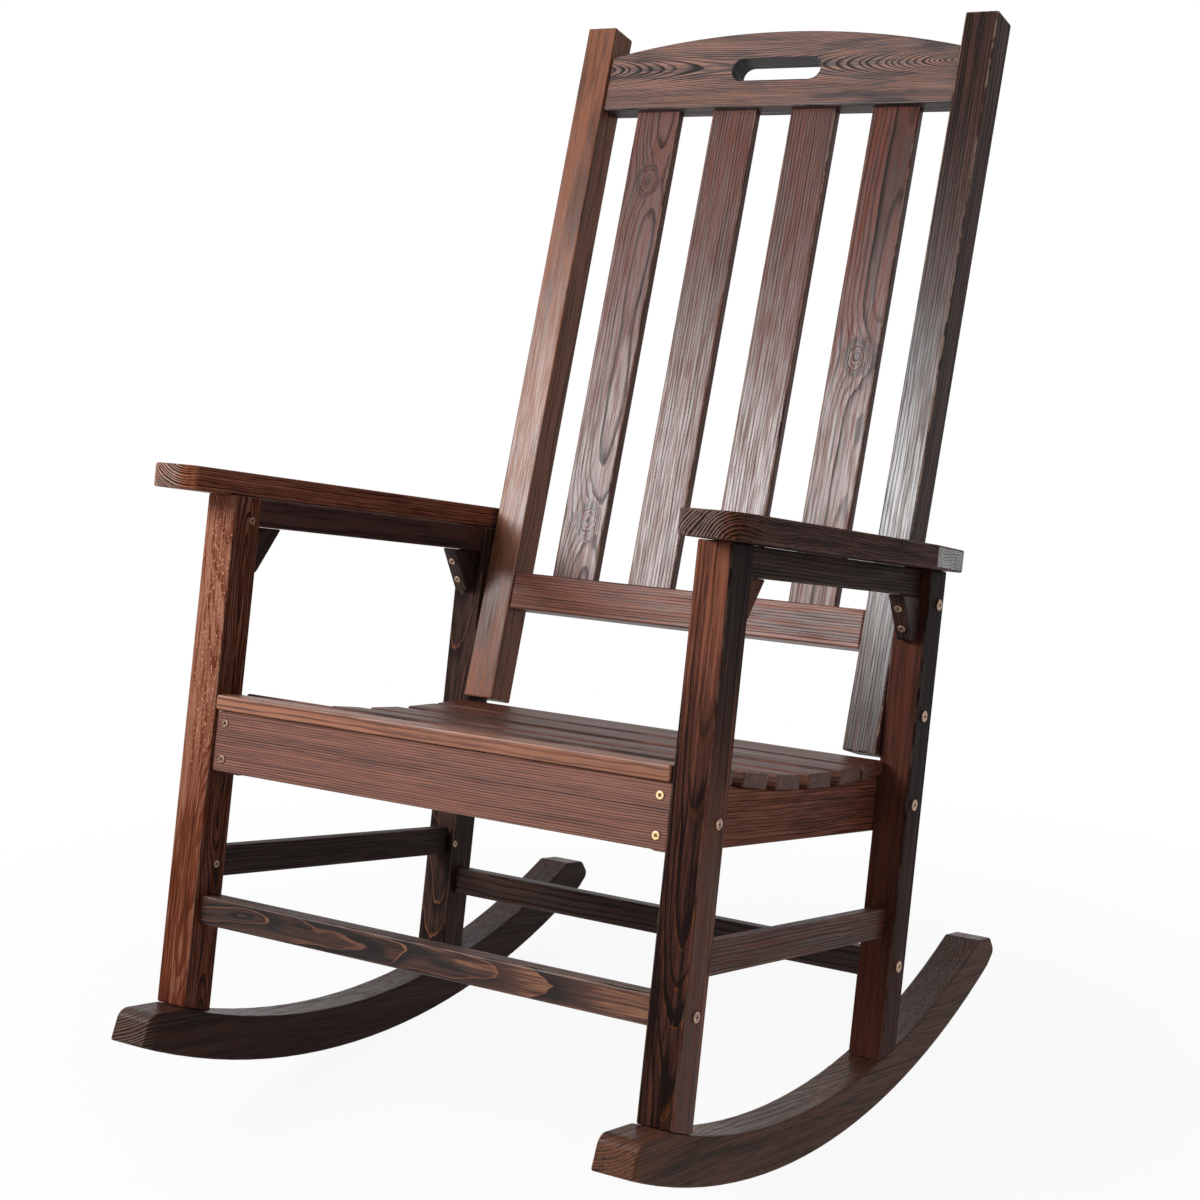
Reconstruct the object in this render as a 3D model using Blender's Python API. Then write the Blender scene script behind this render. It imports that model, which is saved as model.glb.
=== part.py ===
"""Porch rocking chair: a slatted wooden armchair on two curved rockers.

Lengths are metres and +Z is up. The chair faces -Y, and left and right are the sitter's, so left is +X.
The floor is z = 0 and the origin lies on it, midway between the front and the back of the chair.

The frame is drawn square in its own datum, whose y = 0 is the front face of the front legs and whose z = 0
is the lower edge of the front apron. The whole frame is then leant back about the centre of the rockers'
arc, which leaves the underside of the rockers touching the floor. The back is drawn in a datum of its own
at the foot of the back posts.
"""

import math

import bmesh
import bpy
from mathutils import Matrix, Vector

for old_object in list(bpy.data.objects):
    bpy.data.objects.remove(old_object, do_unlink=True)

# Fits and finish
FIT = 0.0003
EDGE_ROUND = 0.002
ROUND_STEPS = 2
HOLE_SIDES = 12

# Angles
RAKE = math.radians(11.5)
BACK_LEAN = math.radians(8.35)

# Legs and the space between them
LEG_WIDTH = 0.037
LEG_DEPTH = 0.041
SEAT_WIDTH = 0.530
SEAT_RUN = 0.409
LEG_RISE = 0.2786
LEG_DROP = 0.2417

# Rockers
ROCKER_RADIUS = 0.9912
ROCKER_CENTRE_SETBACK = 0.225
ROCKER_DEPTH = 0.0465
ROCKER_WIDTH = 0.0425
ROCKER_FACET = 0.030
NOSE_LENGTH = 0.0625
NOSE_SLANT = 0.005
NOSE_ROUND = 0.014
TAIL_LENGTH = 0.268
TAIL_CHAMFER = 0.0165
TAIL_ROUND = 0.008

# Seat
APRON_SETBACK = 0.0044
APRON_THICKNESS = 0.014
APRON_HEIGHT = 0.062
SIDE_RAIL_THICKNESS = 0.024
SIDE_RAIL_DROP = 0.003
SIDE_RAIL_TAIL = 0.034
SCOOP_DEPTH = 0.014
SCOOP_RADIUS = 1.6
SCOOP_SETBACK = 0.268
REAR_RAIL_THICKNESS = 0.020
REAR_RAIL_HEIGHT = 0.045
SEAT_SLAT_THICKNESS = 0.015
SEAT_SLAT_WIDTH = 0.051
SEAT_SLAT_GAP = 0.0205
SEAT_SLAT_OVERHANG = 0.007
FRONT_SLAT_WIDTH = 0.036
FRONT_SLAT_PROUD = 0.001
FRONT_SLAT_END_GAP = 0.0018
FIRST_SLAT_GAP = 0.0125
LAST_SLAT_GAP = 0.0055
REAR_LEG_GAP = 0.0025

# Stretchers
FRONT_STRETCHER_HEIGHT = 0.029
FRONT_STRETCHER_THICKNESS = 0.025
FRONT_STRETCHER_SETBACK = 0.0094
REAR_STRETCHER_HEIGHT = 0.030
REAR_STRETCHER_THICKNESS = 0.022
REAR_STRETCHER_SETBACK = 0.0104
REAR_STRETCHER_DROP = 0.158
FRONT_STRETCHER_DROP = 0.1565
SIDE_STRETCHER_HEIGHT = 0.0315
SIDE_STRETCHER_THICKNESS = 0.016
SIDE_STRETCHER_DROP = 0.1126

# Arms, the rails under them and the corner braces
ARM_THICKNESS = 0.024
ARM_WIDTH = 0.0655
ARM_INNER_SETBACK = 0.0075
ARM_FRONT_OVERHANG = 0.058
ARM_REAR_OVERHANG = 0.0086
ARM_NOSE_TAPER = 0.005
ARM_NOSE_TAPER_LENGTH = 0.040
ARM_TAIL_TAPER = 0.022
ARM_TAIL_TAPER_LENGTH = 0.124
ARM_CORNER_RADIUS = 0.020
ARM_RAIL_HEIGHT = 0.029
ARM_RAIL_THICKNESS = 0.022
ARM_RAIL_SETBACK = 0.003
ARM_RAIL_GAP = 0.0004
BRACE_RUN = 0.046
BRACE_DROP = 0.047
BRACE_BLUNT = 0.0126
BRACE_THICKNESS = 0.018

# Back
POST_WIDTH = 0.039
POST_DEPTH = 0.0413
POST_LENGTH = 0.828
POST_ADVANCE = 0.0116
POST_FOOT_GAP = 0.0045
CREST_THICKNESS = 0.030
CREST_SETBACK = 0.0043
CREST_DROP = 0.1033
CREST_END_HEIGHT = 0.0665
CREST_ARCH = 0.025
CREST_ARCH_STEPS = 24
HAND_SLOT_LENGTH = 0.1145
HAND_SLOT_HEIGHT = 0.0265
HAND_SLOT_RISE = 0.0453
LOWER_RAIL_RISE = 0.1095
LOWER_RAIL_HEIGHT = 0.043
LOWER_RAIL_THICKNESS = 0.030
LOWER_RAIL_SETBACK = 0.0015
BACK_SLAT_COUNT = 4
BACK_SLAT_WIDTH = 0.0575
BACK_SLAT_END_GAP = 0.0425
BACK_SLAT_THICKNESS = 0.013
BACK_SLAT_SETBACK = 0.0155
TENON_LENGTH = 0.012

# Fasteners
BOLT_HEAD_RADIUS = 0.007
BOLT_HEAD_HEIGHT = 0.0036
BOLT_SHANK_RADIUS = 0.003
BOLT_LENGTH = 0.055
BOLT_SIDES = 16
RAIL_BOLT_INSET = 0.007
UPPER_POST_BOLT_DROP = 0.036
LOWER_POST_BOLT_RISE = 0.045
SCREW_HEAD_RADIUS = 0.0043
SCREW_HEAD_HEIGHT = 0.0022
SCREW_SHANK_RADIUS = 0.002
SCREW_SIDES = 12
APRON_SCREW_LENGTH = 0.045
APRON_SCREW_INSET = 0.013
BRACE_SCREW_LENGTH = 0.050
UPPER_BRACE_SCREW = 0.018
LOWER_BRACE_SCREW = 0.043
RECESS_WIDTH = 0.28
RECESS_DEPTH = 0.55

# Places that follow from the sizes above
leg_inner = SEAT_WIDTH / 2
leg_outer = leg_inner + LEG_WIDTH
leg_middle = (leg_inner + leg_outer) / 2
rear_leg_front = LEG_DEPTH + SEAT_RUN
rear_leg_back = rear_leg_front + LEG_DEPTH

rocker_top_radius = ROCKER_RADIUS - ROCKER_DEPTH
rocker_centre_y = ROCKER_CENTRE_SETBACK
rocker_centre_z = math.sqrt(rocker_top_radius**2 - rocker_centre_y**2) - LEG_DROP

side_rail_outer = leg_inner - FIT
side_rail_inner = side_rail_outer - SIDE_RAIL_THICKNESS
side_rail_front = APRON_SETBACK + APRON_THICKNESS + FIT
side_rail_back = rear_leg_front + SIDE_RAIL_TAIL
scoop_centre_z = APRON_HEIGHT - SCOOP_DEPTH + SCOOP_RADIUS

arm_rail_top = LEG_RISE - ARM_RAIL_GAP
arm_rail_bottom = arm_rail_top - ARM_RAIL_HEIGHT
arm_rail_inner = leg_inner + ARM_RAIL_SETBACK
arm_rail_outer = arm_rail_inner + ARM_RAIL_THICKNESS

post_outer = leg_inner - FIT
post_inner = post_outer - POST_WIDTH
back_half_width = post_inner - FIT
crest_bottom = POST_LENGTH - CREST_DROP
lower_rail_top = LOWER_RAIL_RISE + LOWER_RAIL_HEIGHT


def scoop_height(y):
    """Height of the scooped top of a side rail at y, level with the apron where the arc would rise above it."""
    arc = scoop_centre_z - math.sqrt(SCOOP_RADIUS**2 - (y - SCOOP_SETBACK) ** 2)
    return min(APRON_HEIGHT, arc)


class Slat:
    """A seat slat across the scoop: its middle, its tilt and the corner under the back posts."""

    def __init__(self, front, width):
        self.width = width
        middle = front + width / 2
        self.tilt = math.asin((middle - SCOOP_SETBACK) / SCOOP_RADIUS)
        seat = math.sqrt((SCOOP_RADIUS - FIT) ** 2 - (width / 2) ** 2)
        centre_radius = seat - SEAT_SLAT_THICKNESS / 2
        self.y = SCOOP_SETBACK + centre_radius * math.sin(self.tilt)
        self.z = scoop_centre_z - centre_radius * math.cos(self.tilt)

    def corner(self, along, up):
        """A point of the section, with along and up counted in half widths and half thicknesses."""
        dy = along * self.width / 2
        dz = up * SEAT_SLAT_THICKNESS / 2
        y = self.y + dy * math.cos(self.tilt) - dz * math.sin(self.tilt)
        z = self.z + dy * math.sin(self.tilt) + dz * math.cos(self.tilt)
        return y, z


rear_slat_back = rear_leg_front - REAR_LEG_GAP
rear_slat_front = rear_slat_back - SEAT_SLAT_WIDTH
rear_slat = Slat(rear_slat_front, SEAT_SLAT_WIDTH)
first_slat_front = LEG_DEPTH + FIRST_SLAT_GAP
slat_span = rear_slat_front - LAST_SLAT_GAP - first_slat_front
slat_count = round((slat_span + SEAT_SLAT_GAP) / (SEAT_SLAT_WIDTH + SEAT_SLAT_GAP))
slat_pitch = (slat_span - SEAT_SLAT_WIDTH) / max(slat_count - 1, 1)

post_foot_y = rear_leg_front - POST_ADVANCE
slat_corner_y, slat_corner_z = rear_slat.corner(1, 1)
post_foot_z = slat_corner_z + POST_FOOT_GAP + (slat_corner_y - post_foot_y) * math.tan(BACK_LEAN)


def post_front_at(z):
    """Where the front face of a back post is at a height of the frame's datum."""
    return post_foot_y + (z - post_foot_z) * math.tan(BACK_LEAN)


def to_back(y, z):
    """A point of the frame's datum in the datum of the back."""
    dy = y - post_foot_y
    dz = z - post_foot_z
    along = dy * math.cos(BACK_LEAN) - dz * math.sin(BACK_LEAN)
    up = dy * math.sin(BACK_LEAN) + dz * math.cos(BACK_LEAN)
    return along, up


def facet_radius(angle):
    """Radius of the faceted underside: flats touch the rocker's arc, and one lies level on the floor."""
    step = ROCKER_FACET / ROCKER_RADIUS
    offset = (angle - RAKE + step / 2) % step - step / 2
    return ROCKER_RADIUS / math.cos(offset)


def arc_point(angle, radius):
    """A point about the rockers' centre, with the angle counted backwards from straight down."""
    return rocker_centre_y + radius * math.sin(angle), rocker_centre_z - radius * math.cos(angle)


def rocker_outline():
    """The side view of a rocker: faceted underside, rounded tail, arc on top and a rounded nose."""
    step = ROCKER_FACET / ROCKER_RADIUS
    tail_y = rear_leg_back + TAIL_LENGTH
    nose_angle = math.asin((-NOSE_LENGTH - rocker_centre_y) / ROCKER_RADIUS)
    tail_angle = math.asin((tail_y - TAIL_CHAMFER - rocker_centre_y) / ROCKER_RADIUS)
    angles = [nose_angle]
    first = math.floor((nose_angle - RAKE) / step)
    last = math.ceil((tail_angle - RAKE) / step)
    for index in range(first, last + 1):
        angle = RAKE + (index + 0.5) * step
        if nose_angle + 0.2 * step < angle < tail_angle - 0.2 * step:
            angles.append(angle)
    angles.append(tail_angle)
    points = [arc_point(angle, facet_radius(angle)) for angle in angles]

    below_y, below_z = points[-1]
    end_z = below_z + TAIL_CHAMFER
    top_z = end_z + TAIL_CHAMFER
    tail_tip = (tail_y, end_z)
    tail_top = (tail_y - TAIL_CHAMFER, top_z)

    top_end = math.acos((rocker_centre_z - top_z) / rocker_top_radius)
    top_start = math.asin(-rocker_centre_y / rocker_top_radius)
    count = max(2, round((top_end - top_start) * rocker_top_radius / ROCKER_FACET))
    top_arc = []
    for index in range(count + 1):
        angle = top_end + (top_start - top_end) * index / count
        top_arc.append(arc_point(angle, rocker_top_radius))
    points.extend(corner_arc((below_y, below_z), tail_tip, tail_top, TAIL_ROUND))
    points.extend(corner_arc(tail_tip, tail_top, top_arc[0], TAIL_ROUND))
    points.extend(top_arc)

    nose_top = points[-1][1]
    face_y = -NOSE_LENGTH + NOSE_SLANT
    for index in range(6):
        turn = math.radians(90 + 80 * index / 5)
        y = face_y + NOSE_ROUND + NOSE_ROUND * math.cos(turn)
        z = nose_top - NOSE_ROUND + NOSE_ROUND * math.sin(turn)
        points.append((y, z))
    return points


def leg_outline(front, back):
    """The side view of a leg, with its foot rounded to lie on the arc of the rocker's top."""
    radius = rocker_top_radius - 1.5 * FIT
    points = []
    for index in range(5):
        y = front + (back - front) * index / 4
        points.append((y, rocker_centre_z - math.sqrt(radius**2 - (y - rocker_centre_y) ** 2)))
    points.append((back, LEG_RISE))
    points.append((front, LEG_RISE))
    return points


def side_rail_outline():
    """The side view of a seat side rail: straight below, scooped on top."""
    points = [(side_rail_front, -SIDE_RAIL_DROP), (side_rail_back, -SIDE_RAIL_DROP)]
    for index in range(17):
        y = side_rail_back + (side_rail_front - side_rail_back) * index / 16
        points.append((y, scoop_height(y)))
    return points


def brace_outline(leg_face, direction):
    """The side view of a corner brace against a leg's face, reaching out along direction."""
    top = arm_rail_bottom - FIT
    wall = leg_face + direction * FIT
    return [
        (wall, top),
        (wall, top - BRACE_DROP),
        (wall + direction * BRACE_BLUNT, top - BRACE_DROP),
        (wall + direction * BRACE_RUN, top),
    ]


def arm_outline():
    """The left arm seen from above: tapered at both ends of its outer edge, with rounded corners."""
    inner = leg_inner + ARM_INNER_SETBACK
    outer = inner + ARM_WIDTH
    front = -ARM_FRONT_OVERHANG
    back = rear_leg_back + ARM_REAR_OVERHANG
    corners = [
        (inner, front),
        (outer - ARM_NOSE_TAPER, front),
        (outer, front + ARM_NOSE_TAPER_LENGTH),
        (outer, back - ARM_TAIL_TAPER_LENGTH),
        (outer - ARM_TAIL_TAPER, back),
        (inner, back),
    ]
    radii = [0.55, 1.1, 0.8, 0.6, 0.24, 0.18]
    return rounded(corners, [ARM_CORNER_RADIUS * share for share in radii])


def corner_arc(before, here, after, radius):
    """Points of the arc that rounds the corner here of a line from before to after."""
    here = Vector(here)
    towards = (Vector(before) - here).normalized()
    away = (Vector(after) - here).normalized()
    half = towards.angle(away) / 2
    centre = here + (towards + away).normalized() * radius / math.sin(half)
    start = here + towards * radius / math.tan(half) - centre
    end = here + away * radius / math.tan(half) - centre
    sweep = math.pi - 2 * half
    steps = max(1, round(math.degrees(sweep) / 10))
    points = []
    for step in range(steps + 1):
        a = math.sin(sweep * (1 - step / steps)) / math.sin(sweep)
        b = math.sin(sweep * step / steps) / math.sin(sweep)
        points.append(tuple(centre + start * a + end * b))
    return points


def rounded(corners, radii):
    """A polygon with each corner replaced by an arc of its own radius."""
    points = []
    for index, corner in enumerate(corners):
        following = corners[(index + 1) % len(corners)]
        points.extend(corner_arc(corners[index - 1], corner, following, radii[index]))
    return points


def crest_outline():
    """The front view of the crest rail: straight below, arched on top."""
    half = back_half_width
    radius = (half**2 + CREST_ARCH**2) / (2 * CREST_ARCH)
    centre = crest_bottom + CREST_END_HEIGHT + CREST_ARCH - radius
    points = [(-half, crest_bottom), (half, crest_bottom)]
    for index in range(CREST_ARCH_STEPS + 1):
        x = half - 2 * half * index / CREST_ARCH_STEPS
        points.append((x, centre + math.sqrt(radius**2 - x**2)))
    return points


def hand_slot_outline():
    """The hand slot of the crest rail: a bar with round ends."""
    radius = HAND_SLOT_HEIGHT / 2
    reach = HAND_SLOT_LENGTH / 2 - radius
    points = []
    for side in (1, -1):
        for index in range(9):
            turn = math.radians(-90 + 180 * index / 8)
            x = side * (reach + radius * math.cos(turn))
            z = crest_bottom + HAND_SLOT_RISE + side * radius * math.sin(turn)
            points.append((x, z))
    return points


# Materials
def finish(name, colour, roughness, metallic):
    """A plain Principled material."""
    material = bpy.data.materials.new(name)
    material.use_nodes = True
    shader = material.node_tree.nodes["Principled BSDF"]
    shader.inputs["Base Color"].default_value = (*colour, 1.0)
    shader.inputs["Roughness"].default_value = roughness
    shader.inputs["Metallic"].default_value = metallic
    material.diffuse_color = (*colour, 1.0)
    return material


frame_wood = finish("frame_wood", (0.105, 0.042, 0.026), 0.45, 0.0)
seat_wood = finish("seat_wood", (0.135, 0.062, 0.045), 0.45, 0.0)
back_wood = finish("back_wood", (0.175, 0.105, 0.082), 0.45, 0.0)
dark_wood = finish("dark_wood", (0.040, 0.022, 0.018), 0.50, 0.0)
rocker_wood = finish("rocker_wood", (0.055, 0.032, 0.026), 0.50, 0.0)
brass = finish("brass", (0.62, 0.47, 0.27), 0.30, 1.0)


# Datums: the rocking centre, the square frame and the back
def datum(name, location, tilt, parent):
    """An empty that carries pieces, leant back by tilt."""
    empty = bpy.data.objects.new(name, None)
    empty.location = location
    empty.rotation_euler = (-tilt, 0.0, 0.0)
    empty.parent = parent
    bpy.context.scene.collection.objects.link(empty)
    return empty


def leant(y, z):
    """Depth of a point of the frame's datum from the rocking centre once the frame is leant back."""
    return (y - rocker_centre_y) * math.cos(RAKE) + (z - rocker_centre_z) * math.sin(RAKE)


post_top_y = post_foot_y + POST_LENGTH * math.sin(BACK_LEAN) + POST_DEPTH * math.cos(BACK_LEAN)
post_top_z = post_foot_z + POST_LENGTH * math.cos(BACK_LEAN) - POST_DEPTH * math.sin(BACK_LEAN)
foremost = min(leant(y, z) for y, z in rocker_outline())
hindmost = max(leant(post_top_y, post_top_z), max(leant(y, z) for y, z in rocker_outline()))
rocking_centre = datum("rocking_centre", (0.0, -(foremost + hindmost) / 2, ROCKER_RADIUS), RAKE, None)
frame = datum("frame", (0.0, -rocker_centre_y, -rocker_centre_z), 0.0, rocking_centre)
back = datum("back", (0.0, post_foot_y, post_foot_z), BACK_LEAN, frame)


# Pieces
def place(name, mesh, location, parent, material):
    """Link a mesh as a named piece."""
    piece = bpy.data.objects.new(name, mesh)
    piece.location = location
    piece.parent = parent
    if material:
        mesh.materials.clear()
        mesh.materials.append(material)
    bpy.context.scene.collection.objects.link(piece)
    return piece


def closed_mesh(name, builder):
    """A mesh about its own middle, with its faces turned outwards, and that middle."""
    model = bmesh.new()
    builder(model)
    bmesh.ops.recalc_face_normals(model, faces=model.faces)
    low = Vector(min(vertex.co[axis] for vertex in model.verts) for axis in range(3))
    high = Vector(max(vertex.co[axis] for vertex in model.verts) for axis in range(3))
    middle = (low + high) / 2
    bmesh.ops.translate(model, vec=-middle, verts=model.verts)
    mesh = bpy.data.meshes.new(name)
    model.to_mesh(mesh)
    model.free()
    return mesh, middle


def add_prism(model, outline, axis, low, high):
    """Extrude an outline along one axis; the outline gives the other two coordinates in x, y, z order."""
    ring = []
    for first, second in outline:
        point = [first, second]
        point.insert(axis, low)
        ring.append(model.verts.new(point))
    face = model.faces.new(ring)
    rise = [0.0, 0.0, 0.0]
    rise[axis] = high - low
    grown = bmesh.ops.extrude_face_region(model, geom=[face], use_keep_orig=True)
    top = [item for item in grown["geom"] if isinstance(item, bmesh.types.BMVert)]
    bmesh.ops.translate(model, vec=rise, verts=top)


def prism(name, outline, axis, low, high, parent, material, edge=EDGE_ROUND):
    """A straight piece with one outline, its sawn edges rounded."""
    mesh, middle = closed_mesh(name, lambda model: add_prism(model, outline, axis, low, high))
    piece = place(name, mesh, middle, parent, material)
    if edge:
        bevel = piece.modifiers.new("edge_round", "BEVEL")
        bevel.width = edge
        bevel.segments = ROUND_STEPS
        bevel.limit_method = "ANGLE"
        bevel.angle_limit = math.radians(30)
    return piece


def board(name, x, y, z, parent, material, edge=EDGE_ROUND):
    """A square-edged board between pairs of x, y and z."""
    outline = [(y[0], z[0]), (y[1], z[0]), (y[1], z[1]), (y[0], z[1])]
    return prism(name, outline, 0, x[0], x[1], parent, material, edge)


def hide(cutter):
    """Mark an object as a cutter, which isn't part of the chair."""
    cutter.hide_render = True
    cutter.display_type = "WIRE"


def cut(piece, cutter):
    """Cut a piece with a closed cutter that is placed in the same datum."""
    hide(cutter)
    modifier = piece.modifiers.new("cut", "BOOLEAN")
    modifier.operation = "DIFFERENCE"
    modifier.object = cutter
    modifier.solver = "EXACT"


def hole_cutter(name, parent, radius, start, end):
    """A round cutter between two points of a datum."""
    start = Vector(start)
    axis = Vector(end) - start
    mesh = bpy.data.meshes.new(name)
    model = bmesh.new()
    bmesh.ops.create_cone(
        model,
        cap_ends=True,
        segments=HOLE_SIDES,
        radius1=radius / math.cos(math.pi / HOLE_SIDES),
        radius2=radius / math.cos(math.pi / HOLE_SIDES),
        depth=axis.length,
        matrix=Matrix.Translation((0.0, 0.0, axis.length / 2)),
    )
    model.to_mesh(mesh)
    model.free()
    cutter = place(name, mesh, start, parent, None)
    cutter.rotation_euler = axis.to_track_quat("Z", "Y").to_euler()
    return cutter


def turned(model, profile, sides):
    """Turn a profile of radius and height, from the lower end of the axis to the upper, about +Z."""
    rings = []
    for radius, height in profile:
        if radius == 0.0:
            rings.append([model.verts.new((0.0, 0.0, height))])
            continue
        ring = []
        for index in range(sides):
            turn = 2 * math.pi * (index + 0.5) / sides
            ring.append(model.verts.new((radius * math.cos(turn), radius * math.sin(turn), height)))
        rings.append(ring)
    for lower, upper in zip(rings, rings[1:]):
        for index in range(sides):
            after = (index + 1) % sides
            corners = [lower[index % len(lower)], lower[after % len(lower)]]
            corners += [upper[after % len(upper)], upper[index % len(upper)]]
            model.faces.new(list(dict.fromkeys(corners)))


def fastener_mesh(name, head_radius, head_height, shank_radius, length, sides):
    """A domed screw along +Z with its seat at z = 0, a pointed shank below and a cross recess on top."""
    profile = [(0.0, -length), (shank_radius, -length + shank_radius), (shank_radius, 0.0), (head_radius, 0.0)]
    profile.append((head_radius, head_height * 0.35))
    for index in range(1, 3):
        turn = math.radians(30 * index)
        profile.append((head_radius * math.cos(turn), head_height * (0.35 + 0.65 * math.sin(turn))))
    profile.append((0.0, head_height))
    mesh = bpy.data.meshes.new(name)
    model = bmesh.new()
    turned(model, profile, sides)
    bmesh.ops.recalc_face_normals(model, faces=model.faces)
    model.to_mesh(mesh)
    model.free()

    half = head_radius * RECESS_WIDTH / 2
    reach = head_radius * RECESS_DEPTH
    floor = head_height * (1 - RECESS_DEPTH)
    cross = [(half, half), (half, reach), (-half, reach), (-half, half), (-reach, half), (-reach, -half)]
    cross += [(-half, -half), (-half, -reach), (half, -reach), (half, -half), (reach, -half), (reach, half)]
    recess, middle = closed_mesh("recess", lambda built: add_prism(built, cross, 2, floor, 2 * head_height))
    blank = place(name, mesh, (0.0, 0.0, 0.0), None, None)
    cutter = place("recess", recess, middle, None, None)
    cut(blank, cutter)
    bpy.context.view_layer.update()
    shaped = blank.evaluated_get(bpy.context.evaluated_depsgraph_get())
    finished = bpy.data.meshes.new_from_object(shaped)
    finished.name = name
    bpy.data.objects.remove(blank, do_unlink=True)
    bpy.data.objects.remove(cutter, do_unlink=True)
    finished.shade_smooth()
    finished.set_sharp_from_angle(angle=math.radians(40))
    return finished


def fasten(name, mesh, shank_radius, length, seat, direction, parent, holds):
    """Set a fastener with its seat at a point, driven along direction, and drill what it holds."""
    seat = Vector(seat)
    inward = Vector(direction).normalized()
    piece = place(name, mesh, seat - inward * FIT, parent, brass)
    piece.rotation_euler = (-inward).to_track_quat("Z", "Y").to_euler()
    start = seat - inward * 4 * shank_radius
    end = seat + inward * (length + FIT)
    for held in holds:
        cutter = hole_cutter(f"drill_{name}_{held.name}", frame, shank_radius + FIT, start, end)
        cut(held, cutter)
    return piece


bolt = fastener_mesh("bolt", BOLT_HEAD_RADIUS, BOLT_HEAD_HEIGHT, BOLT_SHANK_RADIUS, BOLT_LENGTH, BOLT_SIDES)
apron_screw = fastener_mesh(
    "apron_screw", SCREW_HEAD_RADIUS, SCREW_HEAD_HEIGHT, SCREW_SHANK_RADIUS, APRON_SCREW_LENGTH, SCREW_SIDES
)
brace_screw = fastener_mesh(
    "brace_screw", SCREW_HEAD_RADIUS, SCREW_HEAD_HEIGHT, SCREW_SHANK_RADIUS, BRACE_SCREW_LENGTH, SCREW_SIDES
)

# Seat and stretchers that run from side to side
apron_y = (APRON_SETBACK, APRON_SETBACK + APRON_THICKNESS)
cross_reach = leg_inner - FIT
apron = board("apron", (-cross_reach, cross_reach), apron_y, (0.0, APRON_HEIGHT), frame, seat_wood)

front_stretcher_y = (FRONT_STRETCHER_SETBACK, FRONT_STRETCHER_SETBACK + FRONT_STRETCHER_THICKNESS)
front_stretcher_z = (-FRONT_STRETCHER_DROP, -FRONT_STRETCHER_DROP + FRONT_STRETCHER_HEIGHT)
front_stretcher = board(
    "front_stretcher", (-cross_reach, cross_reach), front_stretcher_y, front_stretcher_z, frame, frame_wood
)
rear_stretcher_front = rear_leg_front + REAR_STRETCHER_SETBACK
rear_stretcher_y = (rear_stretcher_front, rear_stretcher_front + REAR_STRETCHER_THICKNESS)
rear_stretcher_z = (-REAR_STRETCHER_DROP, -REAR_STRETCHER_DROP + REAR_STRETCHER_HEIGHT)
rear_stretcher = board(
    "rear_stretcher", (-cross_reach, cross_reach), rear_stretcher_y, rear_stretcher_z, frame, frame_wood
)

rear_rail_y = (rear_slat_back - EDGE_ROUND - REAR_RAIL_THICKNESS, rear_slat_back - EDGE_ROUND)
rear_rail_top = min(scoop_height(y) for y in rear_rail_y) - FIT
rear_rail_reach = side_rail_inner - FIT
board(
    "rear_seat_rail",
    (-rear_rail_reach, rear_rail_reach),
    rear_rail_y,
    (rear_rail_top - REAR_RAIL_HEIGHT, rear_rail_top),
    frame,
    dark_wood,
)

front_slat_reach = leg_inner - FRONT_SLAT_END_GAP
front_slat_z = APRON_HEIGHT + FIT
board(
    "seat_slat_front",
    (-front_slat_reach, front_slat_reach),
    (-FRONT_SLAT_PROUD, -FRONT_SLAT_PROUD + FRONT_SLAT_WIDTH),
    (front_slat_z, front_slat_z + SEAT_SLAT_THICKNESS),
    frame,
    seat_wood,
)


def seat_slat(name, slat):
    """A slat lying across the scoop of both side rails."""
    section = [slat.corner(-1, -1), slat.corner(1, -1), slat.corner(1, 1), slat.corner(-1, 1)]
    reach = leg_inner + SEAT_SLAT_OVERHANG
    prism(name, section, 0, -reach, reach, frame, seat_wood)


for number in range(slat_count):
    seat_slat(f"seat_slat_{number + 1}", Slat(first_slat_front + number * slat_pitch, SEAT_SLAT_WIDTH))
seat_slat("seat_slat_rear", rear_slat)

# Back: crest rail, lower rail and the slats tenoned into both
crest_y = (CREST_SETBACK, CREST_SETBACK + CREST_THICKNESS)
crest = prism("crest_rail", crest_outline(), 1, *crest_y, back, frame_wood)
slot_y = (crest_y[0] - CREST_THICKNESS, crest_y[1] + CREST_THICKNESS)
slot = prism("hand_slot", hand_slot_outline(), 1, *slot_y, back, None, edge=0.0)
cut(crest, slot)

lower_rail_y = (LOWER_RAIL_SETBACK, LOWER_RAIL_SETBACK + LOWER_RAIL_THICKNESS)
lower_rail = board(
    "lower_back_rail",
    (-back_half_width, back_half_width),
    lower_rail_y,
    (LOWER_RAIL_RISE, lower_rail_top),
    back,
    frame_wood,
)

slat_field = 2 * back_half_width - 2 * BACK_SLAT_END_GAP
slat_gap = (slat_field - BACK_SLAT_COUNT * BACK_SLAT_WIDTH) / (BACK_SLAT_COUNT - 1)
back_slat_y = (BACK_SLAT_SETBACK, BACK_SLAT_SETBACK + BACK_SLAT_THICKNESS)
back_slat_z = (lower_rail_top - TENON_LENGTH, crest_bottom + TENON_LENGTH)
for number in range(BACK_SLAT_COUNT):
    x_low = -back_half_width + BACK_SLAT_END_GAP + number * (BACK_SLAT_WIDTH + slat_gap)
    x_span = (x_low, x_low + BACK_SLAT_WIDTH)
    board(f"back_slat_{number + 1}", x_span, back_slat_y, back_slat_z, back, back_wood)
    x_mortise = (x_span[0] - FIT, x_span[1] + FIT)
    y_mortise = (back_slat_y[0] - FIT, back_slat_y[1] + FIT)
    z_mortise = (back_slat_z[0] - FIT, back_slat_z[1] + FIT)
    mortise = board(f"mortise_{number + 1}", x_mortise, y_mortise, z_mortise, back, None, edge=0.0)
    cut(crest, mortise)
    cut(lower_rail, mortise)


# The two sides, mirrored about x = 0
def sided(side, inner, outer):
    """An x span on the left (side 1) or right (side -1), from its inner and outer distances."""
    return tuple(sorted((side * inner, side * outer)))


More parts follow.
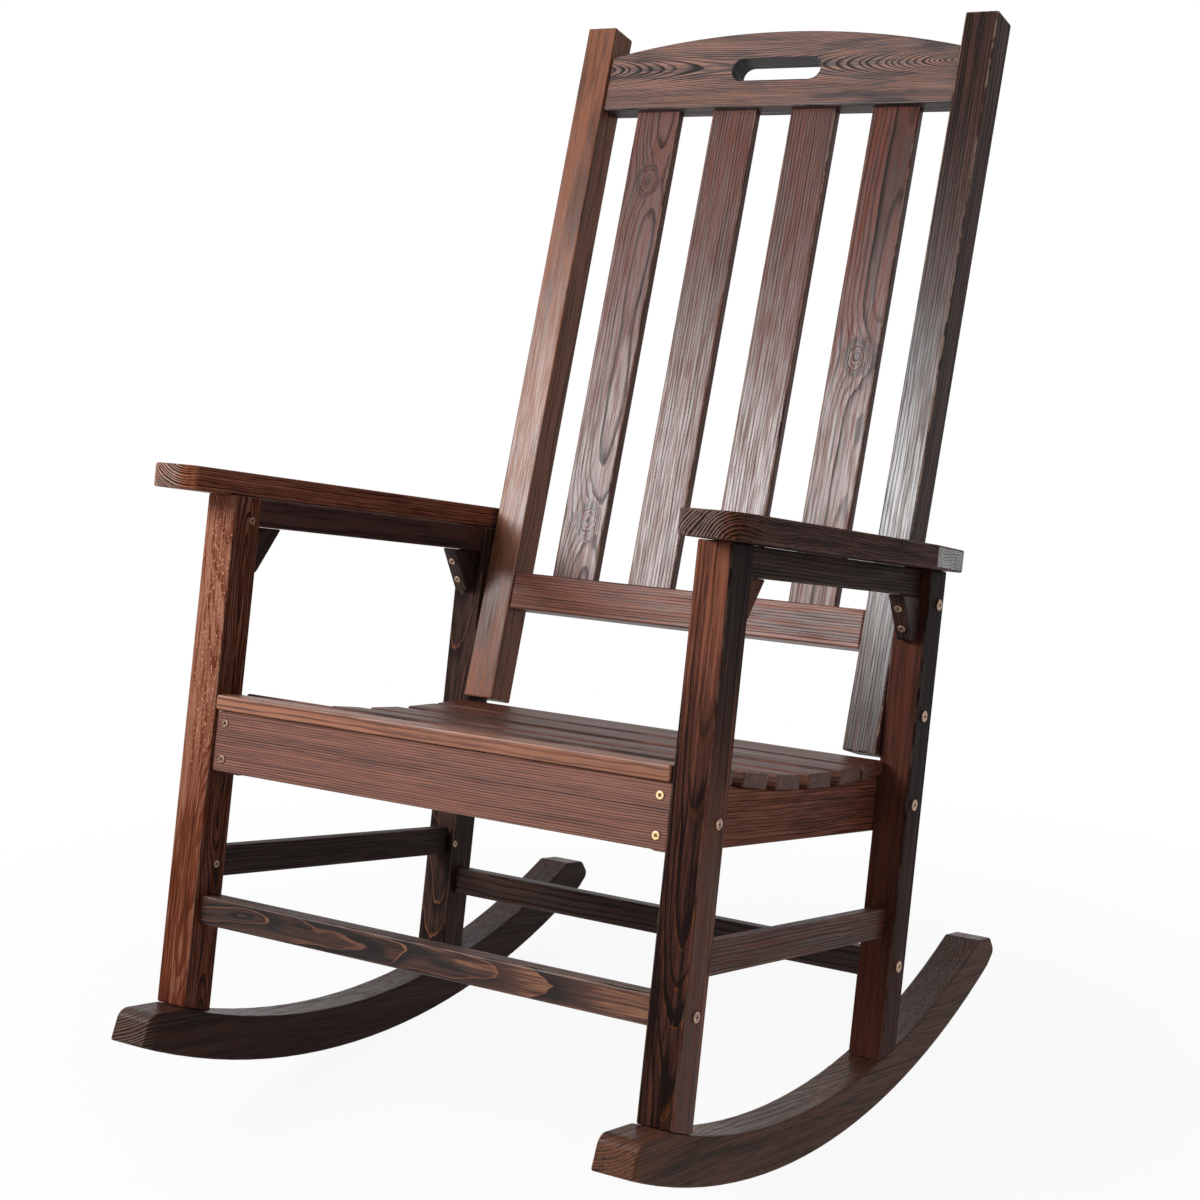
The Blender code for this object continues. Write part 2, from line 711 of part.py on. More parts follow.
def build_side(label, side):
    """Everything that the left or the right side of the chair has for itself."""
    leg_x = sided(side, leg_inner, leg_outer)
    front_leg = prism(f"front_leg_{label}", leg_outline(0.0, LEG_DEPTH), 0, *leg_x, frame, frame_wood)
    rear_outline = leg_outline(rear_leg_front, rear_leg_back)
    rear_leg = prism(f"rear_leg_{label}", rear_outline, 0, *leg_x, frame, frame_wood)

    rocker_x = sided(side, leg_outer - ROCKER_WIDTH, leg_outer)
    prism(f"rocker_{label}", rocker_outline(), 0, *rocker_x, frame, rocker_wood)

    rail_x = sided(side, side_rail_inner, side_rail_outer)
    side_rail = prism(f"side_seat_rail_{label}", side_rail_outline(), 0, *rail_x, frame, dark_wood)

    half = SIDE_STRETCHER_THICKNESS / 2
    between_legs = (LEG_DEPTH + FIT, rear_leg_front - FIT)
    stretcher_z = (-SIDE_STRETCHER_DROP, -SIDE_STRETCHER_DROP + SIDE_STRETCHER_HEIGHT)
    stretcher_x = sided(side, leg_middle - half, leg_middle + half)
    board(f"side_stretcher_{label}", stretcher_x, between_legs, stretcher_z, frame, dark_wood)

    arm_x = sided(side, arm_rail_inner, arm_rail_outer)
    arm_rail_z = (arm_rail_bottom, arm_rail_top)
    arm_rail = board(f"arm_rail_{label}", arm_x, between_legs, arm_rail_z, frame, dark_wood)
    arm_plan = [(side * x, y) for x, y in arm_outline()]
    arm_z = (LEG_RISE + FIT, LEG_RISE + FIT + ARM_THICKNESS)
    prism(f"arm_{label}", arm_plan, 2, *arm_z, frame, frame_wood)

    half = BRACE_THICKNESS / 2
    brace_x = sided(side, leg_middle - half, leg_middle + half)
    prism(f"front_brace_{label}", brace_outline(LEG_DEPTH, 1), 0, *brace_x, frame, dark_wood)
    rear_brace_outline = brace_outline(rear_leg_front, -1)
    rear_brace = prism(f"rear_brace_{label}", rear_brace_outline, 0, *brace_x, frame, dark_wood)

    post_x = sided(side, post_inner, post_outer)
    post = board(f"back_post_{label}", post_x, (0.0, POST_DEPTH), (0.0, POST_LENGTH), back, back_wood)

    rail_middle = (APRON_HEIGHT - SIDE_RAIL_DROP) / 2
    upper_z = LEG_RISE - UPPER_POST_BOLT_DROP
    lower_z = post_foot_z + LOWER_POST_BOLT_RISE
    bolts = [
        ("front_seat_bolt", side_rail_front + RAIL_BOLT_INSET, rail_middle, front_leg, side_rail),
        ("front_stretcher_bolt", *middle_of(front_stretcher_y, front_stretcher_z), front_leg, front_stretcher),
        ("upper_post_bolt", shared_depth(upper_z), upper_z, rear_leg, post),
        ("lower_post_bolt", shared_depth(lower_z), lower_z, rear_leg, post),
        ("rear_seat_bolt", (rear_leg_front + side_rail_back) / 2, rail_middle, rear_leg, side_rail),
        ("rear_stretcher_bolt", *middle_of(rear_stretcher_y, rear_stretcher_z), rear_leg, rear_stretcher),
    ]
    for name, y, z, leg, held in bolts:
        seat = (side * leg_outer, y, z)
        fasten(f"{name}_{label}", bolt, BOLT_SHANK_RADIUS, BOLT_LENGTH, seat, (-side, 0, 0), frame, [leg, held])

    screw_x = side * (side_rail_inner + side_rail_outer) / 2
    for name, z in (("lower", APRON_SCREW_INSET), ("upper", APRON_HEIGHT - APRON_SCREW_INSET)):
        fasten(
            f"apron_screw_{name}_{label}",
            apron_screw,
            SCREW_SHANK_RADIUS,
            APRON_SCREW_LENGTH,
            (screw_x, APRON_SETBACK, z),
            (0, 1, 0),
            frame,
            [apron, side_rail],
        )

    toe, brow = Vector(rear_brace_outline[2]), Vector(rear_brace_outline[3])
    slope = (toe - brow).normalized()
    driven = (0.0, -slope.y, slope.x)
    for name, distance in (("upper", UPPER_BRACE_SCREW), ("lower", LOWER_BRACE_SCREW)):
        y, z = brow + slope * distance
        fasten(
            f"brace_screw_{name}_{label}",
            brace_screw,
            SCREW_SHANK_RADIUS,
            BRACE_SCREW_LENGTH,
            (side * leg_middle, y, z),
            driven,
            frame,
            [rear_brace, arm_rail, rear_leg],
        )


def middle_of(first, second):
    """The middle of two spans."""
    return sum(first) / 2, sum(second) / 2


def shared_depth(z):
    """The middle of the depth that a rear leg and the back post beside it share at a height."""
    near = max(rear_leg_front, post_front_at(z))
    far = min(rear_leg_back, post_front_at(z) + POST_DEPTH / math.cos(BACK_LEAN))
    return (near + far) / 2


build_side("left", 1)
build_side("right", -1)
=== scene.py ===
"""Looks of a porch rocking chair: charred and brushed fir under satin lacquer, with brass fasteners."""

import math

import bpy
import numpy as np
from mathutils import Matrix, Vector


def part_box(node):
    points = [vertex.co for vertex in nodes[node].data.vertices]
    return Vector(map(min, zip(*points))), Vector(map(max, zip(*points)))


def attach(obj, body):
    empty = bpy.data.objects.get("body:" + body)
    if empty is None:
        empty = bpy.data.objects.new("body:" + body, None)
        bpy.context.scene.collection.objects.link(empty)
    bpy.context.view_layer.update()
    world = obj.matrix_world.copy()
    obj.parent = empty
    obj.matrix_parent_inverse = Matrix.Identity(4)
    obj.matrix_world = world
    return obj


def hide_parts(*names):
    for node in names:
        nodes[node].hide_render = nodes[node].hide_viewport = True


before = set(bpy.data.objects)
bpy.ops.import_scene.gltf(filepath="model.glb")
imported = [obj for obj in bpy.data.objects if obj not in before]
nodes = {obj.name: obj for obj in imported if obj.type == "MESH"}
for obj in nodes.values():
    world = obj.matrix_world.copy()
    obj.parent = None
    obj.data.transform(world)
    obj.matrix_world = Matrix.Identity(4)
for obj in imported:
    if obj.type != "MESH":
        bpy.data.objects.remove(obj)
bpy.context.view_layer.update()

# Unit directions of the boards. RAKE is how far the legs lean back, BACK_LEAN how far the back does.
RAKE = math.radians(11.5)
BACK_LEAN = math.radians(19.85)
ACROSS = np.array([1.0, 0.0, 0.0])
UPWARDS = np.array([0.0, 0.0, 1.0])
LEG_UP = np.array([0.0, math.sin(RAKE), math.cos(RAKE)])
LEG_BACK = np.array([0.0, math.cos(RAKE), -math.sin(RAKE)])
BACK_UP = np.array([0.0, math.sin(BACK_LEAN), math.cos(BACK_LEAN)])
BACK_DEEP = np.array([0.0, math.cos(BACK_LEAN), -math.sin(BACK_LEAN)])


def linear(red, green, blue):
    """A colour written in the usual 0 to 255 steps, as the linear light that shaders use."""
    steps = np.array([red, green, blue]) / 255.0
    low = steps / 12.92
    high = ((steps + 0.055) / 1.055) ** 2.4
    light = np.where(steps <= 0.04045, low, high)
    return (float(light[0]), float(light[1]), float(light[2]), 1.0)


class Value:
    """A shader socket that Python operators work on: each operator adds one Math node."""

    def __init__(self, finish, socket):
        self.finish = finish
        self.socket = socket

    def __add__(self, other):
        return self.finish.math("ADD", self, other)

    def __radd__(self, other):
        return self.finish.math("ADD", other, self)

    def __sub__(self, other):
        return self.finish.math("SUBTRACT", self, other)

    def __rsub__(self, other):
        return self.finish.math("SUBTRACT", other, self)

    def __mul__(self, other):
        return self.finish.math("MULTIPLY", self, other)

    def __truediv__(self, other):
        return self.finish.math("DIVIDE", self, other)

    def __abs__(self):
        return self.finish.math("ABSOLUTE", self)


SHADER_SOCKETS = {
    "colour": "Base Color",
    "roughness": "Roughness",
    "metallic": "Metallic",
    "gloss": "Specular IOR Level",
    "coat": "Coat Weight",
    "coat_roughness": "Coat Roughness",
    "coat_bend": "Coat IOR",
    "normal": "Normal",
}


class Finish:
    """The node tree of one finish."""

    def __init__(self, name, owner=None):
        if owner is None:
            owner = bpy.data.materials.new(name)
        self.owner = owner
        owner.use_nodes = True
        self.tree = owner.node_tree
        self.tree.nodes.clear()

    def node(self, kind, settings=None, sockets=None):
        """Adds a node: its settings are set first, then the values or links of its sockets."""
        made = self.tree.nodes.new("ShaderNode" + kind)
        for name, setting in (settings or {}).items():
            if name == "stops":
                ramp = made.color_ramp
                while len(ramp.elements) < len(setting):
                    ramp.elements.new(1.0)
                for element, (place, colour) in zip(ramp.elements, setting):
                    element.position = place
                    element.color = colour
            else:
                setattr(made, name, setting)
        for key, value in (sockets or {}).items():
            if isinstance(key, int):
                socket = made.inputs[key]
            else:
                socket = next(s for s in made.inputs if key in (s.identifier, s.name))
            if isinstance(value, Value):
                self.tree.links.new(value.socket, socket)
            else:
                socket.default_value = value
        return made

    def out(self, made, key=0):
        """One output of a node, ready for expressions."""
        if isinstance(key, int):
            return Value(self, made.outputs[key])
        return Value(self, next(s for s in made.outputs if key in (s.identifier, s.name)))

    def math(self, operation, *values):
        """One Math node."""
        return self.out(self.node("Math", {"operation": operation}, dict(enumerate(values))))

    def step(self, low, high, value):
        """A smooth step: 0 below low, 1 above high."""
        sockets = {"Value": value, "From Min": low, "From Max": high}
        return self.out(self.node("MapRange", {"interpolation_type": "SMOOTHSTEP"}, sockets))

    def stretched(self, place, along, across, deep):
        """The place on the board, with each of its three directions scaled."""
        scale = {"Vector": place, 1: (along, across, deep)}
        return self.out(self.node("VectorMath", {"operation": "MULTIPLY"}, scale))

    def noise(self, place, seed, detail=2.0, roughness=0.5, output="Fac"):
        """Smooth noise, with the seed as its fourth coordinate."""
        settings = {"noise_dimensions": "4D"}
        sockets = {"Vector": place, "W": seed, "Scale": 1.0, "Detail": detail, "Roughness": roughness}
        return self.out(self.node("TexNoise", settings, sockets), output)

    def blend(self, amount, first, second):
        """A colour between two, by amount."""
        settings = {"data_type": "RGBA"}
        sockets = {"Factor_Float": amount, "A_Color": first, "B_Color": second}
        return self.out(self.node("Mix", settings, sockets), "Result_Color")

    def turned_to(self, direction, low, high):
        """1 where the surface looks the given way, 0 where it turns from it."""
        facing = self.out(self.node("NewGeometry"), "Normal")
        towards = self.node("VectorMath", {"operation": "DOT_PRODUCT"}, {0: facing, 1: tuple(direction)})
        return self.step(low, high, self.out(towards, "Value"))

    def surface(self, **sockets):
        """The shader of the surface, with sockets named as in SHADER_SOCKETS."""
        named = {}
        for name, value in sockets.items():
            named[SHADER_SOCKETS[name]] = value
        shader = self.out(self.node("BsdfPrincipled", None, named))
        self.node("OutputMaterial", None, {"Surface": shader})
        return self.owner


def node_points(name):
    """The points of a node of the frame."""
    points = np.empty(len(nodes[name].data.vertices) * 3)
    nodes[name].data.vertices.foreach_get("co", points)
    return points.reshape(-1, 3)


class Place:
    """Where a board lies: its middle, half sizes, and its length, width and thickness directions."""

    def __init__(self, name, length, width):
        thickness = np.cross(length, width)
        self.turn = np.stack([length, width, thickness], axis=1)
        local = node_points(name) @ self.turn
        low = local.min(axis=0)
        high = local.max(axis=0)
        self.half = (high - low) / 2
        self.middle = self.turn @ ((high + low) / 2)

    def angles(self):
        """The turn as three angles."""
        return tuple(Matrix(self.turn.tolist()).to_euler())


class Cut:
    """How a board was cut from the log, toned and finished. Sizes in metres, colours in 0 to 255 steps.

    pith is where the middle of the log lies across the width and the thickness, slope how it drifts
    along the board and bow how it curves. It also wanders by wander, in shorter waves for a larger
    reach. spacing is the width of a ring, uneven how much the widths differ and early the share of a
    ring that comes before its late wood. knots are (along, across, radius).

    light, body and dark are the colours of rising tones. The tone starts at base. lines darken late
    wood, flame the inside of each ring, and streak, fibre, hair, dashes and char what they name. tones
    darken the two ends of the board between the shares of its length in span. skins darken its four
    long faces, at the far and near width and then the far and near thickness, by a number or by two
    for the two ends, and ends darken its two sawn ends. hollow is a slot with dark walls: its place
    along and across, half its length between the round ends, and its radius.

    glow outlines the rings with glow_colour over the share rim of their width, and end_ring_sheen gives the
    near end rings of end_ring_sheen_colour, a pale colour that is partly a painted sheen. flecks chip the
    face at the near thickness and wear bares the arrises in a pale colour that is partly a painted
    highlight.
    plain is the way that a face with few lines looks and sawn the way that the sawn face looks, which
    gets a near-white painted reflection over its saw marks.

    coat is the lacquer and coat_bend how strongly it bends light. coats are its shares at the two
    ends, between the shares of the length in coat_span. coat_foot is the share left at the near end,
    which rises to all of it over foot_run. even is the share that no streak takes away, and shine the
    way that the polished face looks.
    """

    def __init__(self, seed, pith, **given):
        self.seed = seed
        self.pith = pith
        self.slope = (0.0, 0.0)
        self.bow = (0.0, 0.0)
        self.wander = 0.0030
        self.reach = 6.0
        self.spacing = 0.0030
        self.uneven = 1.3
        self.early = 0.50
        self.knots = ()
        self.light = (158, 104, 78)
        self.body = (118, 74, 58)
        self.dark = (46, 28, 23)
        self.base = 0.06
        self.lines = 0.9
        self.flame = 0.0
        self.streak = 0.28
        self.fibre = 0.9
        self.hair = 0.8
        self.dashes = 0.22
        self.char = 0.25
        self.tones = (0.0, 0.0)
        self.span = (0.0, 1.0)
        self.skins = (0.0, 0.0, 0.0, 0.0)
        self.ends = (0.0, 0.0)
        self.hollow = None
        self.glow = 0.0
        self.glow_colour = (176, 104, 58)
        self.rim = 0.07
        self.end_ring_sheen = 0.0
        self.end_ring_sheen_colour = (158, 138, 126)
        self.flecks = 0.0
        self.wear_and_highlight = 0.16
        self.plain = None
        self.sawn = None
        self.roughness = 0.46
        self.gloss = 0.15
        self.coat = 0.0
        self.coat_bend = 1.5
        self.coats = (1.0, 1.0)
        self.coat_span = (0.15, 0.85)
        self.coat_foot = 1.0
        self.foot_run = 0.30
        self.even = 0.12
        self.shine = None
        for name, value in given.items():
            setattr(self, name, value)


# Noises of the wood: scales along the board and across it, shift of the seed, detail and roughness
GRAIN = {
    "knot_edge": (90.0, 120.0, 2.7, 2.0, 0.5),
    "wobble": (26.0, 120.0, 3.1, 2.0, 0.5),
    "fading": (8.0, 70.0, 6.4, 2.0, 0.5),
    "streaks": (6.0, 170.0, 2.3, 4.0, 0.62),
    "fibres": (22.0, 430.0, 7.7, 3.0, 0.6),
    "hairs": (14.0, 760.0, 5.1, 1.0, 0.5),
    "pores": (26.0, 330.0, 9.3, 2.0, 0.5),
    "cloud": (7.0, 34.0, 1.9, 3.0, 0.55),
    "specks": (300.0, 480.0, 5.5, 2.0, 0.6),
    "patches": (14.0, 40.0, 8.1, 2.0, 0.5),
    "breaks": (34.0, 110.0, 4.2, 3.0, 0.6),
}
PITH_WAVES = 16.0
PITH_DETAIL = 1.5
PITH_ROUGHNESS = 0.45
PITH_REACH = 3.0
SAW_WAVES = (300.0, 40.0, 60.0)
SAW_SHIFT = 6.6

# Levels of a noise between which its mark fades in
LEVELS = {
    "strands": (0.34, 0.66),
    "fading": (0.30, 0.66),
    "dashes": (0.56, 0.72),
    "burnt": (0.48, 0.72),
    "saw_marks": (0.38, 0.62),
    "patches": (0.40, 0.60),
    "chips": (0.57, 0.66),
    "pits": (0.32, 0.42),
    "breaks": (0.42, 0.56),
    "polish": (0.41, 0.59),
}

# How squarely a face has to look a way, as cosines between which it starts to count and counts in full
FACING = {"plain": (0.7, 0.9), "sawn": (0.990, 0.997), "shine": (0.45, 0.85)}

# Parts of a ring, from its start at 0 to its end at 1
LATE_FULL = 0.86
LATE_OVER = (0.93, 1.0)
FLAME_FADE = (0.0, 0.62)
END_RING_START = (0.0, 0.12)
END_RING_OVER = (0.24, 0.46)

# Outer layers of a board: how far in from the face they start, and where they are full
SKIN = (0.0035, 0.0006)
END_LAYER = (0.022, 0.002)
CORNER = (0.026, 0.012)
ROUGH_LAYER = (0.003, 0.001)
ARRIS = (0.0024, 0.0010)
SLOT_WALL = (0.0002, 0.0016)

# Colours that the boards share, and the tones at which a board has its own light, body and dark colour
CORNER_RINGS = linear(158, 88, 50)
# The near-white sawn colour is a painted reflection of pale surroundings.
SAWN_SHEEN = linear(242, 238, 237)
# The bare arris colour is rubbed wood that is partly a painted highlight.
BARE_WOOD_AND_HIGHLIGHT = linear(176, 146, 128)
PIT = linear(50, 27, 19)
# The darkest colour is painted shade in the screws' recesses and under their rims.
SHADE_DARK = linear(20, 13, 9)
TONE_STOPS = (0.0, 0.38, 0.95)

# Knots, in radii of the knot: its edge, its heart and the bark ring round it; then how it moves the rings
KNOT_STRETCH = 1.35
KNOT_RAGGED = 0.9
KNOT_EDGE = (0.9, 1.5)
KNOT_HEART = (0.2, 0.6)
KNOT_BARK = 1.15
KNOT_BARK_FADE = (0.1, 0.25)
KNOT_SPREAD = -0.14
KNOT_PUSH = 2.2
KNOT_RINGS = 3.4

# Tones added by a knot, by the wall of a slot and from ring to ring
KNOT_TONE = 0.50
SLOT_TONE = 0.8
RING_TONE = 0.12

YEARS_SCALE = 0.31
WOBBLE = 0.40
RELIEF = 0.0006
COAT_ROUGHNESS = 0.30


class Fir(Finish):
    """Fir cut from a log: rings are distances from a wandering pith, so ends and faces agree.

    Dark late wood lines, streaks, fibres, hair lines, charred patches, knots that push the rings aside,
    pale flecks and rubbed arrises make the colour, with a painted highlight on the arrises, a painted
    sheen on the pale end rings and a painted reflection on the sawn face; the same streaks and fibres
    make the relief and break up the lacquer.
    """

    def __init__(self, name, place, cut):
        super().__init__(name)
        self.cut = cut
        self.half = place.half
        spot = self.out(self.node("TexCoord"), "Object")
        turned = {"Vector": spot, "Location": tuple(place.middle), "Rotation": place.angles()}
        self.spot = self.out(self.node("Mapping", {"vector_type": "TEXTURE"}, turned))
        axes = self.node("SeparateXYZ", None, {"Vector": self.spot})
        self.along = self.out(axes, "X")
        self.across = self.out(axes, "Y")
        self.deep = self.out(axes, "Z")
        self.run_share = self.along / (2.0 * self.half[0]) + 0.5
        self.share = self.step(*cut.span, self.run_share)
        self.streaks = self.grain("streaks")
        self.strands = self.marked("strands", self.streaks)
        self.fibres = self.grain("fibres")
        self.hairs = self.grain("hairs")
        self.pores = self.grain("pores")
        self.cloud = self.grain("cloud")
        self.specks = self.grain("specks")
        self.heart = None
        self.grow_rings(self.knotted(self.pith_distance()))

    def grain(self, name):
        """One of the noises of the wood."""
        along, across, shift, detail, roughness = GRAIN[name]
        place = self.stretched(self.spot, along, across, across)
        return self.noise(place, self.cut.seed + shift, detail, roughness)

    def marked(self, name, noise):
        """Where a noise is high enough for its mark: 0 to 1."""
        return self.step(*LEVELS[name], noise)

    def near(self, half, layer, distance):
        """1 in an outer layer of the board, at a distance from its middle."""
        return self.step(half - layer[0], half - layer[1], distance)

    def pith_distance(self):
        """Distance from the pith in ring widths. The pith drifts, bows and wanders along the board."""
        cut = self.cut
        place = self.stretched(self.spot, cut.reach, PITH_WAVES, PITH_WAVES)
        drift = self.noise(place, cut.seed, PITH_DETAIL, PITH_ROUGHNESS, "Color")
        sway = self.node("SeparateColor", None, {"Color": drift})
        squared = self.along * self.along
        away = []
        for axis, distance, channel in ((0, self.across, "Red"), (1, self.deep, "Green")):
            wandering = (self.out(sway, channel) - 0.5) * (PITH_REACH * cut.wander)
            distance = distance - cut.pith[axis] - self.along * cut.slope[axis]
            distance = distance - squared * cut.bow[axis] - wandering
            away.append(distance * distance)
        return self.math("SQRT", away[0] + away[1]) / cut.spacing

    def knotted(self, steady):
        """Lets knots push the rings aside and have rings and dark hearts of their own."""
        for knot_along, knot_across, knot_size in self.cut.knots:
            run = (self.along - knot_along) / KNOT_STRETCH
            rise = self.across - knot_across
            ragged = (self.grain("knot_edge") - 0.5) * KNOT_RAGGED
            far = self.math("SQRT", run * run + rise * rise) / knot_size + ragged
            inside = 1.0 - self.step(*KNOT_EDGE, far)
            steady = steady + self.math("EXPONENT", far * far * KNOT_SPREAD) * KNOT_PUSH
            steady = steady * (1.0 - inside) + inside * (far * KNOT_RINGS)
            bark = 1.0 - self.step(*KNOT_BARK_FADE, abs(far - KNOT_BARK))
            core = (1.0 - self.step(*KNOT_HEART, far)) + bark * 0.7
            self.heart = core if self.heart is None else self.math("MAXIMUM", self.heart, core)
        return steady

    def grow_rings(self, steady):
        """Rings of uneven width, each with its own depth of late wood, that fade in and out."""
        cut = self.cut
        years = {"W": steady * YEARS_SCALE + cut.seed, "Scale": 1.0, "Detail": 2.0}
        uneven = self.out(self.node("TexNoise", {"noise_dimensions": "1D"}, years))
        rings = steady + (uneven - 0.5) * cut.uneven + (self.grain("wobble") - 0.5) * WOBBLE
        number = {"W": self.math("FLOOR", rings)}
        self.part = self.math("FRACT", rings)
        self.each = self.out(self.node("TexWhiteNoise", {"noise_dimensions": "1D"}, number))
        self.fading = self.marked("fading", self.grain("fading"))
        late = self.step(cut.early, LATE_FULL, self.part) * (1.0 - self.step(*LATE_OVER, self.part))
        late = late * (0.55 + self.each * 0.45) * (0.60 + self.fading * 0.40)
        if cut.plain is not None:
            late = late * (1.0 - self.turned_to(cut.plain, *FACING["plain"]) * 0.72)
        self.late = late

    def slot_wall(self, slot_along, slot_across, slot_half, slot_radius):
        """1 on the wall of a slot with round ends, 0 outside it."""
        past_end = self.math("MAXIMUM", abs(self.along - slot_along) - slot_half, 0.0)
        above = self.across - slot_across
        away = self.math("SQRT", past_end * past_end + above * above)
        return 1.0 - self.step(slot_radius + SLOT_WALL[0], slot_radius + SLOT_WALL[1], away)

    def tone(self):
        """How dark the wood is, from 0 up."""
        cut = self.cut
        tone = cut.base + cut.tones[0] + self.share * (cut.tones[1] - cut.tones[0])
        tone = tone + self.late * cut.lines + (self.strands - 0.5) * cut.streak
        tone = tone + (self.fibres - 0.5) * cut.fibre + (self.hairs - 0.5) * cut.hair
        tone = tone + self.marked("dashes", self.pores) * cut.dashes
        tone = tone + self.marked("burnt", self.cloud) * cut.char + (self.each - 0.5) * RING_TONE
        sides = (self.across, 0.0 - self.across, self.deep, 0.0 - self.deep)
        sides = sides + (0.0 - self.along, self.along)
        for side, half, change in zip(sides, self.half[[1, 1, 2, 2, 0, 0]], cut.skins + cut.ends):
            if isinstance(change, tuple):
                change = change[0] + self.share * (change[1] - change[0])
            if isinstance(change, Value) or change != 0.0:
                tone = tone + self.near(half, SKIN, side) * change
        if cut.hollow is not None:
            tone = tone + self.slot_wall(*cut.hollow) * SLOT_TONE
        if cut.flame > 0.0:
            tongue = 1.0 - self.step(*FLAME_FADE, self.part)
            tone = tone + tongue * (0.4 + self.each * 0.6) * cut.flame
        if self.heart is not None:
            tone = tone + self.heart * KNOT_TONE
        return tone

    def colour(self):
        """The colour of the tone, with outlined rings, and painted sheen on the end rings and sawn face."""
        cut = self.cut
        tone = self.tone()
        shades = (linear(*cut.light), linear(*cut.body), linear(*cut.dark))
        ramp = self.node("ValToRGB", {"stops": list(zip(TONE_STOPS, shades))}, {"Fac": tone})
        colour = self.out(ramp, "Color")
        if cut.glow > 0.0:
            rim = self.step(1.0 - 2.0 * cut.rim, 1.0 - cut.rim, self.part)
            rim = rim * (1.0 - self.step(1.0 - 0.35 * cut.rim, 1.0, self.part))
            rim = rim * (0.25 + self.each * 0.75) * (0.35 + self.fading * 0.65)
            rim = rim * (1.0 - self.step(0.95, 1.30, tone))
            colour = self.blend(rim * cut.glow, colour, linear(*cut.glow_colour))
        # Rings on the near end, their pale colour partly a painted sheen, turning orange near one side.
        if cut.end_ring_sheen > 0.0:
            end_face = self.near(self.half[0], END_LAYER, 0.0 - self.along)
            sheen_ring = self.step(*END_RING_START, self.part) * (1.0 - self.step(*END_RING_OVER, self.part))
            corner = self.near(self.half[1], CORNER, self.across)
            sheen_ring_tint = self.blend(corner, linear(*cut.end_ring_sheen_colour), CORNER_RINGS)
            colour = self.blend(sheen_ring * end_face * cut.end_ring_sheen, colour, sheen_ring_tint)
        # The sawn tail face: saw marks under a near-white painted reflection.
        if cut.sawn is not None:
            waves = self.noise(self.stretched(self.spot, *SAW_WAVES), cut.seed + SAW_SHIFT)
            sheen_on_sawn = self.turned_to(cut.sawn, *FACING["sawn"])
            sheen_on_sawn = sheen_on_sawn * (0.60 + self.marked("saw_marks", waves) * 0.40)
            colour = self.blend(sheen_on_sawn * (1.0 - self.late * 0.90), colour, SAWN_SHEEN)
        return colour

    def worn_and_highlit(self, colour):
        """The colour with chips and pits on the rough face and pale arrises, partly a painted highlight."""
        cut = self.cut
        if cut.flecks > 0.0:
            pale = linear(*[min(255, int(c * 1.18 + 22)) for c in cut.light])
            rough_face = self.near(self.half[2], ROUGH_LAYER, 0.0 - self.deep)
            rough_face = rough_face * self.step(0.3, 0.7, self.share)
            chips = rough_face * (0.25 + self.marked("patches", self.grain("patches")) * 0.75)
            colour = self.blend(chips * self.marked("chips", self.specks) * cut.flecks, colour, pale)
            pits = chips * (1.0 - self.marked("pits", self.specks))
            colour = self.blend(pits * (cut.flecks * 0.7), colour, PIT)
        near_end = self.near(self.half[0], ARRIS, abs(self.along))
        near_side = self.near(self.half[1], ARRIS, abs(self.across))
        near_face = self.near(self.half[2], ARRIS, abs(self.deep))
        end_arris = self.math("MAXIMUM", near_side, near_face) * near_end
        arris = self.math("MAXIMUM", near_side * near_face, end_arris)
        broken = self.marked("breaks", self.grain("breaks"))
        # Pale bare wood along the arrises, partly a painted highlight.
        return self.blend(arris * broken * cut.wear_and_highlight, colour, BARE_WOOD_AND_HIGHLIGHT)

    def lacquer(self):
        """The share of lacquer: streaky, thin over late wood, changing along the board."""
        cut = self.cut
        polish = self.streaks * 0.14 + self.fibres * 0.36 + self.pores * 0.20
        polish = self.marked("polish", polish + self.hairs * 0.22 + self.cloud * 0.08)
        run = self.step(*cut.coat_span, self.run_share)
        coats = cut.coats[0] + run * (cut.coats[1] - cut.coats[0])
        foot = cut.coat_foot + self.step(0.0, cut.foot_run, self.run_share) * (1.0 - cut.coat_foot)
        weight = (cut.even + polish * (1.0 - cut.even)) * (1.0 - self.late * 0.90)
        weight = weight * coats * foot * cut.coat
        if cut.shine is not None:
            weight = weight * (0.06 + self.turned_to(cut.shine, *FACING["shine"]) * 0.94)
        return weight

    def finished(self):
        """The whole finish of the board."""
        cut = self.cut
        roughness = cut.roughness + (self.fibres - 0.5) * 0.22 + (self.strands - 0.5) * 0.12
        roughness = roughness + self.late * 0.06
        height = self.late * 0.5 + self.streaks * 1.3 + self.fibres * 0.45 + self.hairs * 0.25
        height = height + self.specks * (0.1 + cut.flecks)
        relief = {"Strength": 0.8, "Distance": RELIEF, "Height": height}
        normal = self.out(self.node("Bump", None, relief))
        colour = self.worn_and_highlit(self.colour())
        sockets = {"colour": colour, "roughness": roughness, "gloss": cut.gloss, "normal": normal}
        if cut.coat > 0.0:
            sockets["coat"] = self.lacquer()
            sockets["coat_roughness"] = COAT_ROUGHNESS
            sockets["coat_bend"] = cut.coat_bend
        return self.surface(**sockets)


TARNISH_SCALES = (260.0, 260.0, 260.0)
RUB_SCALES = (900.0, 2600.0, 900.0)
RUB_DEPTH = 0.00008


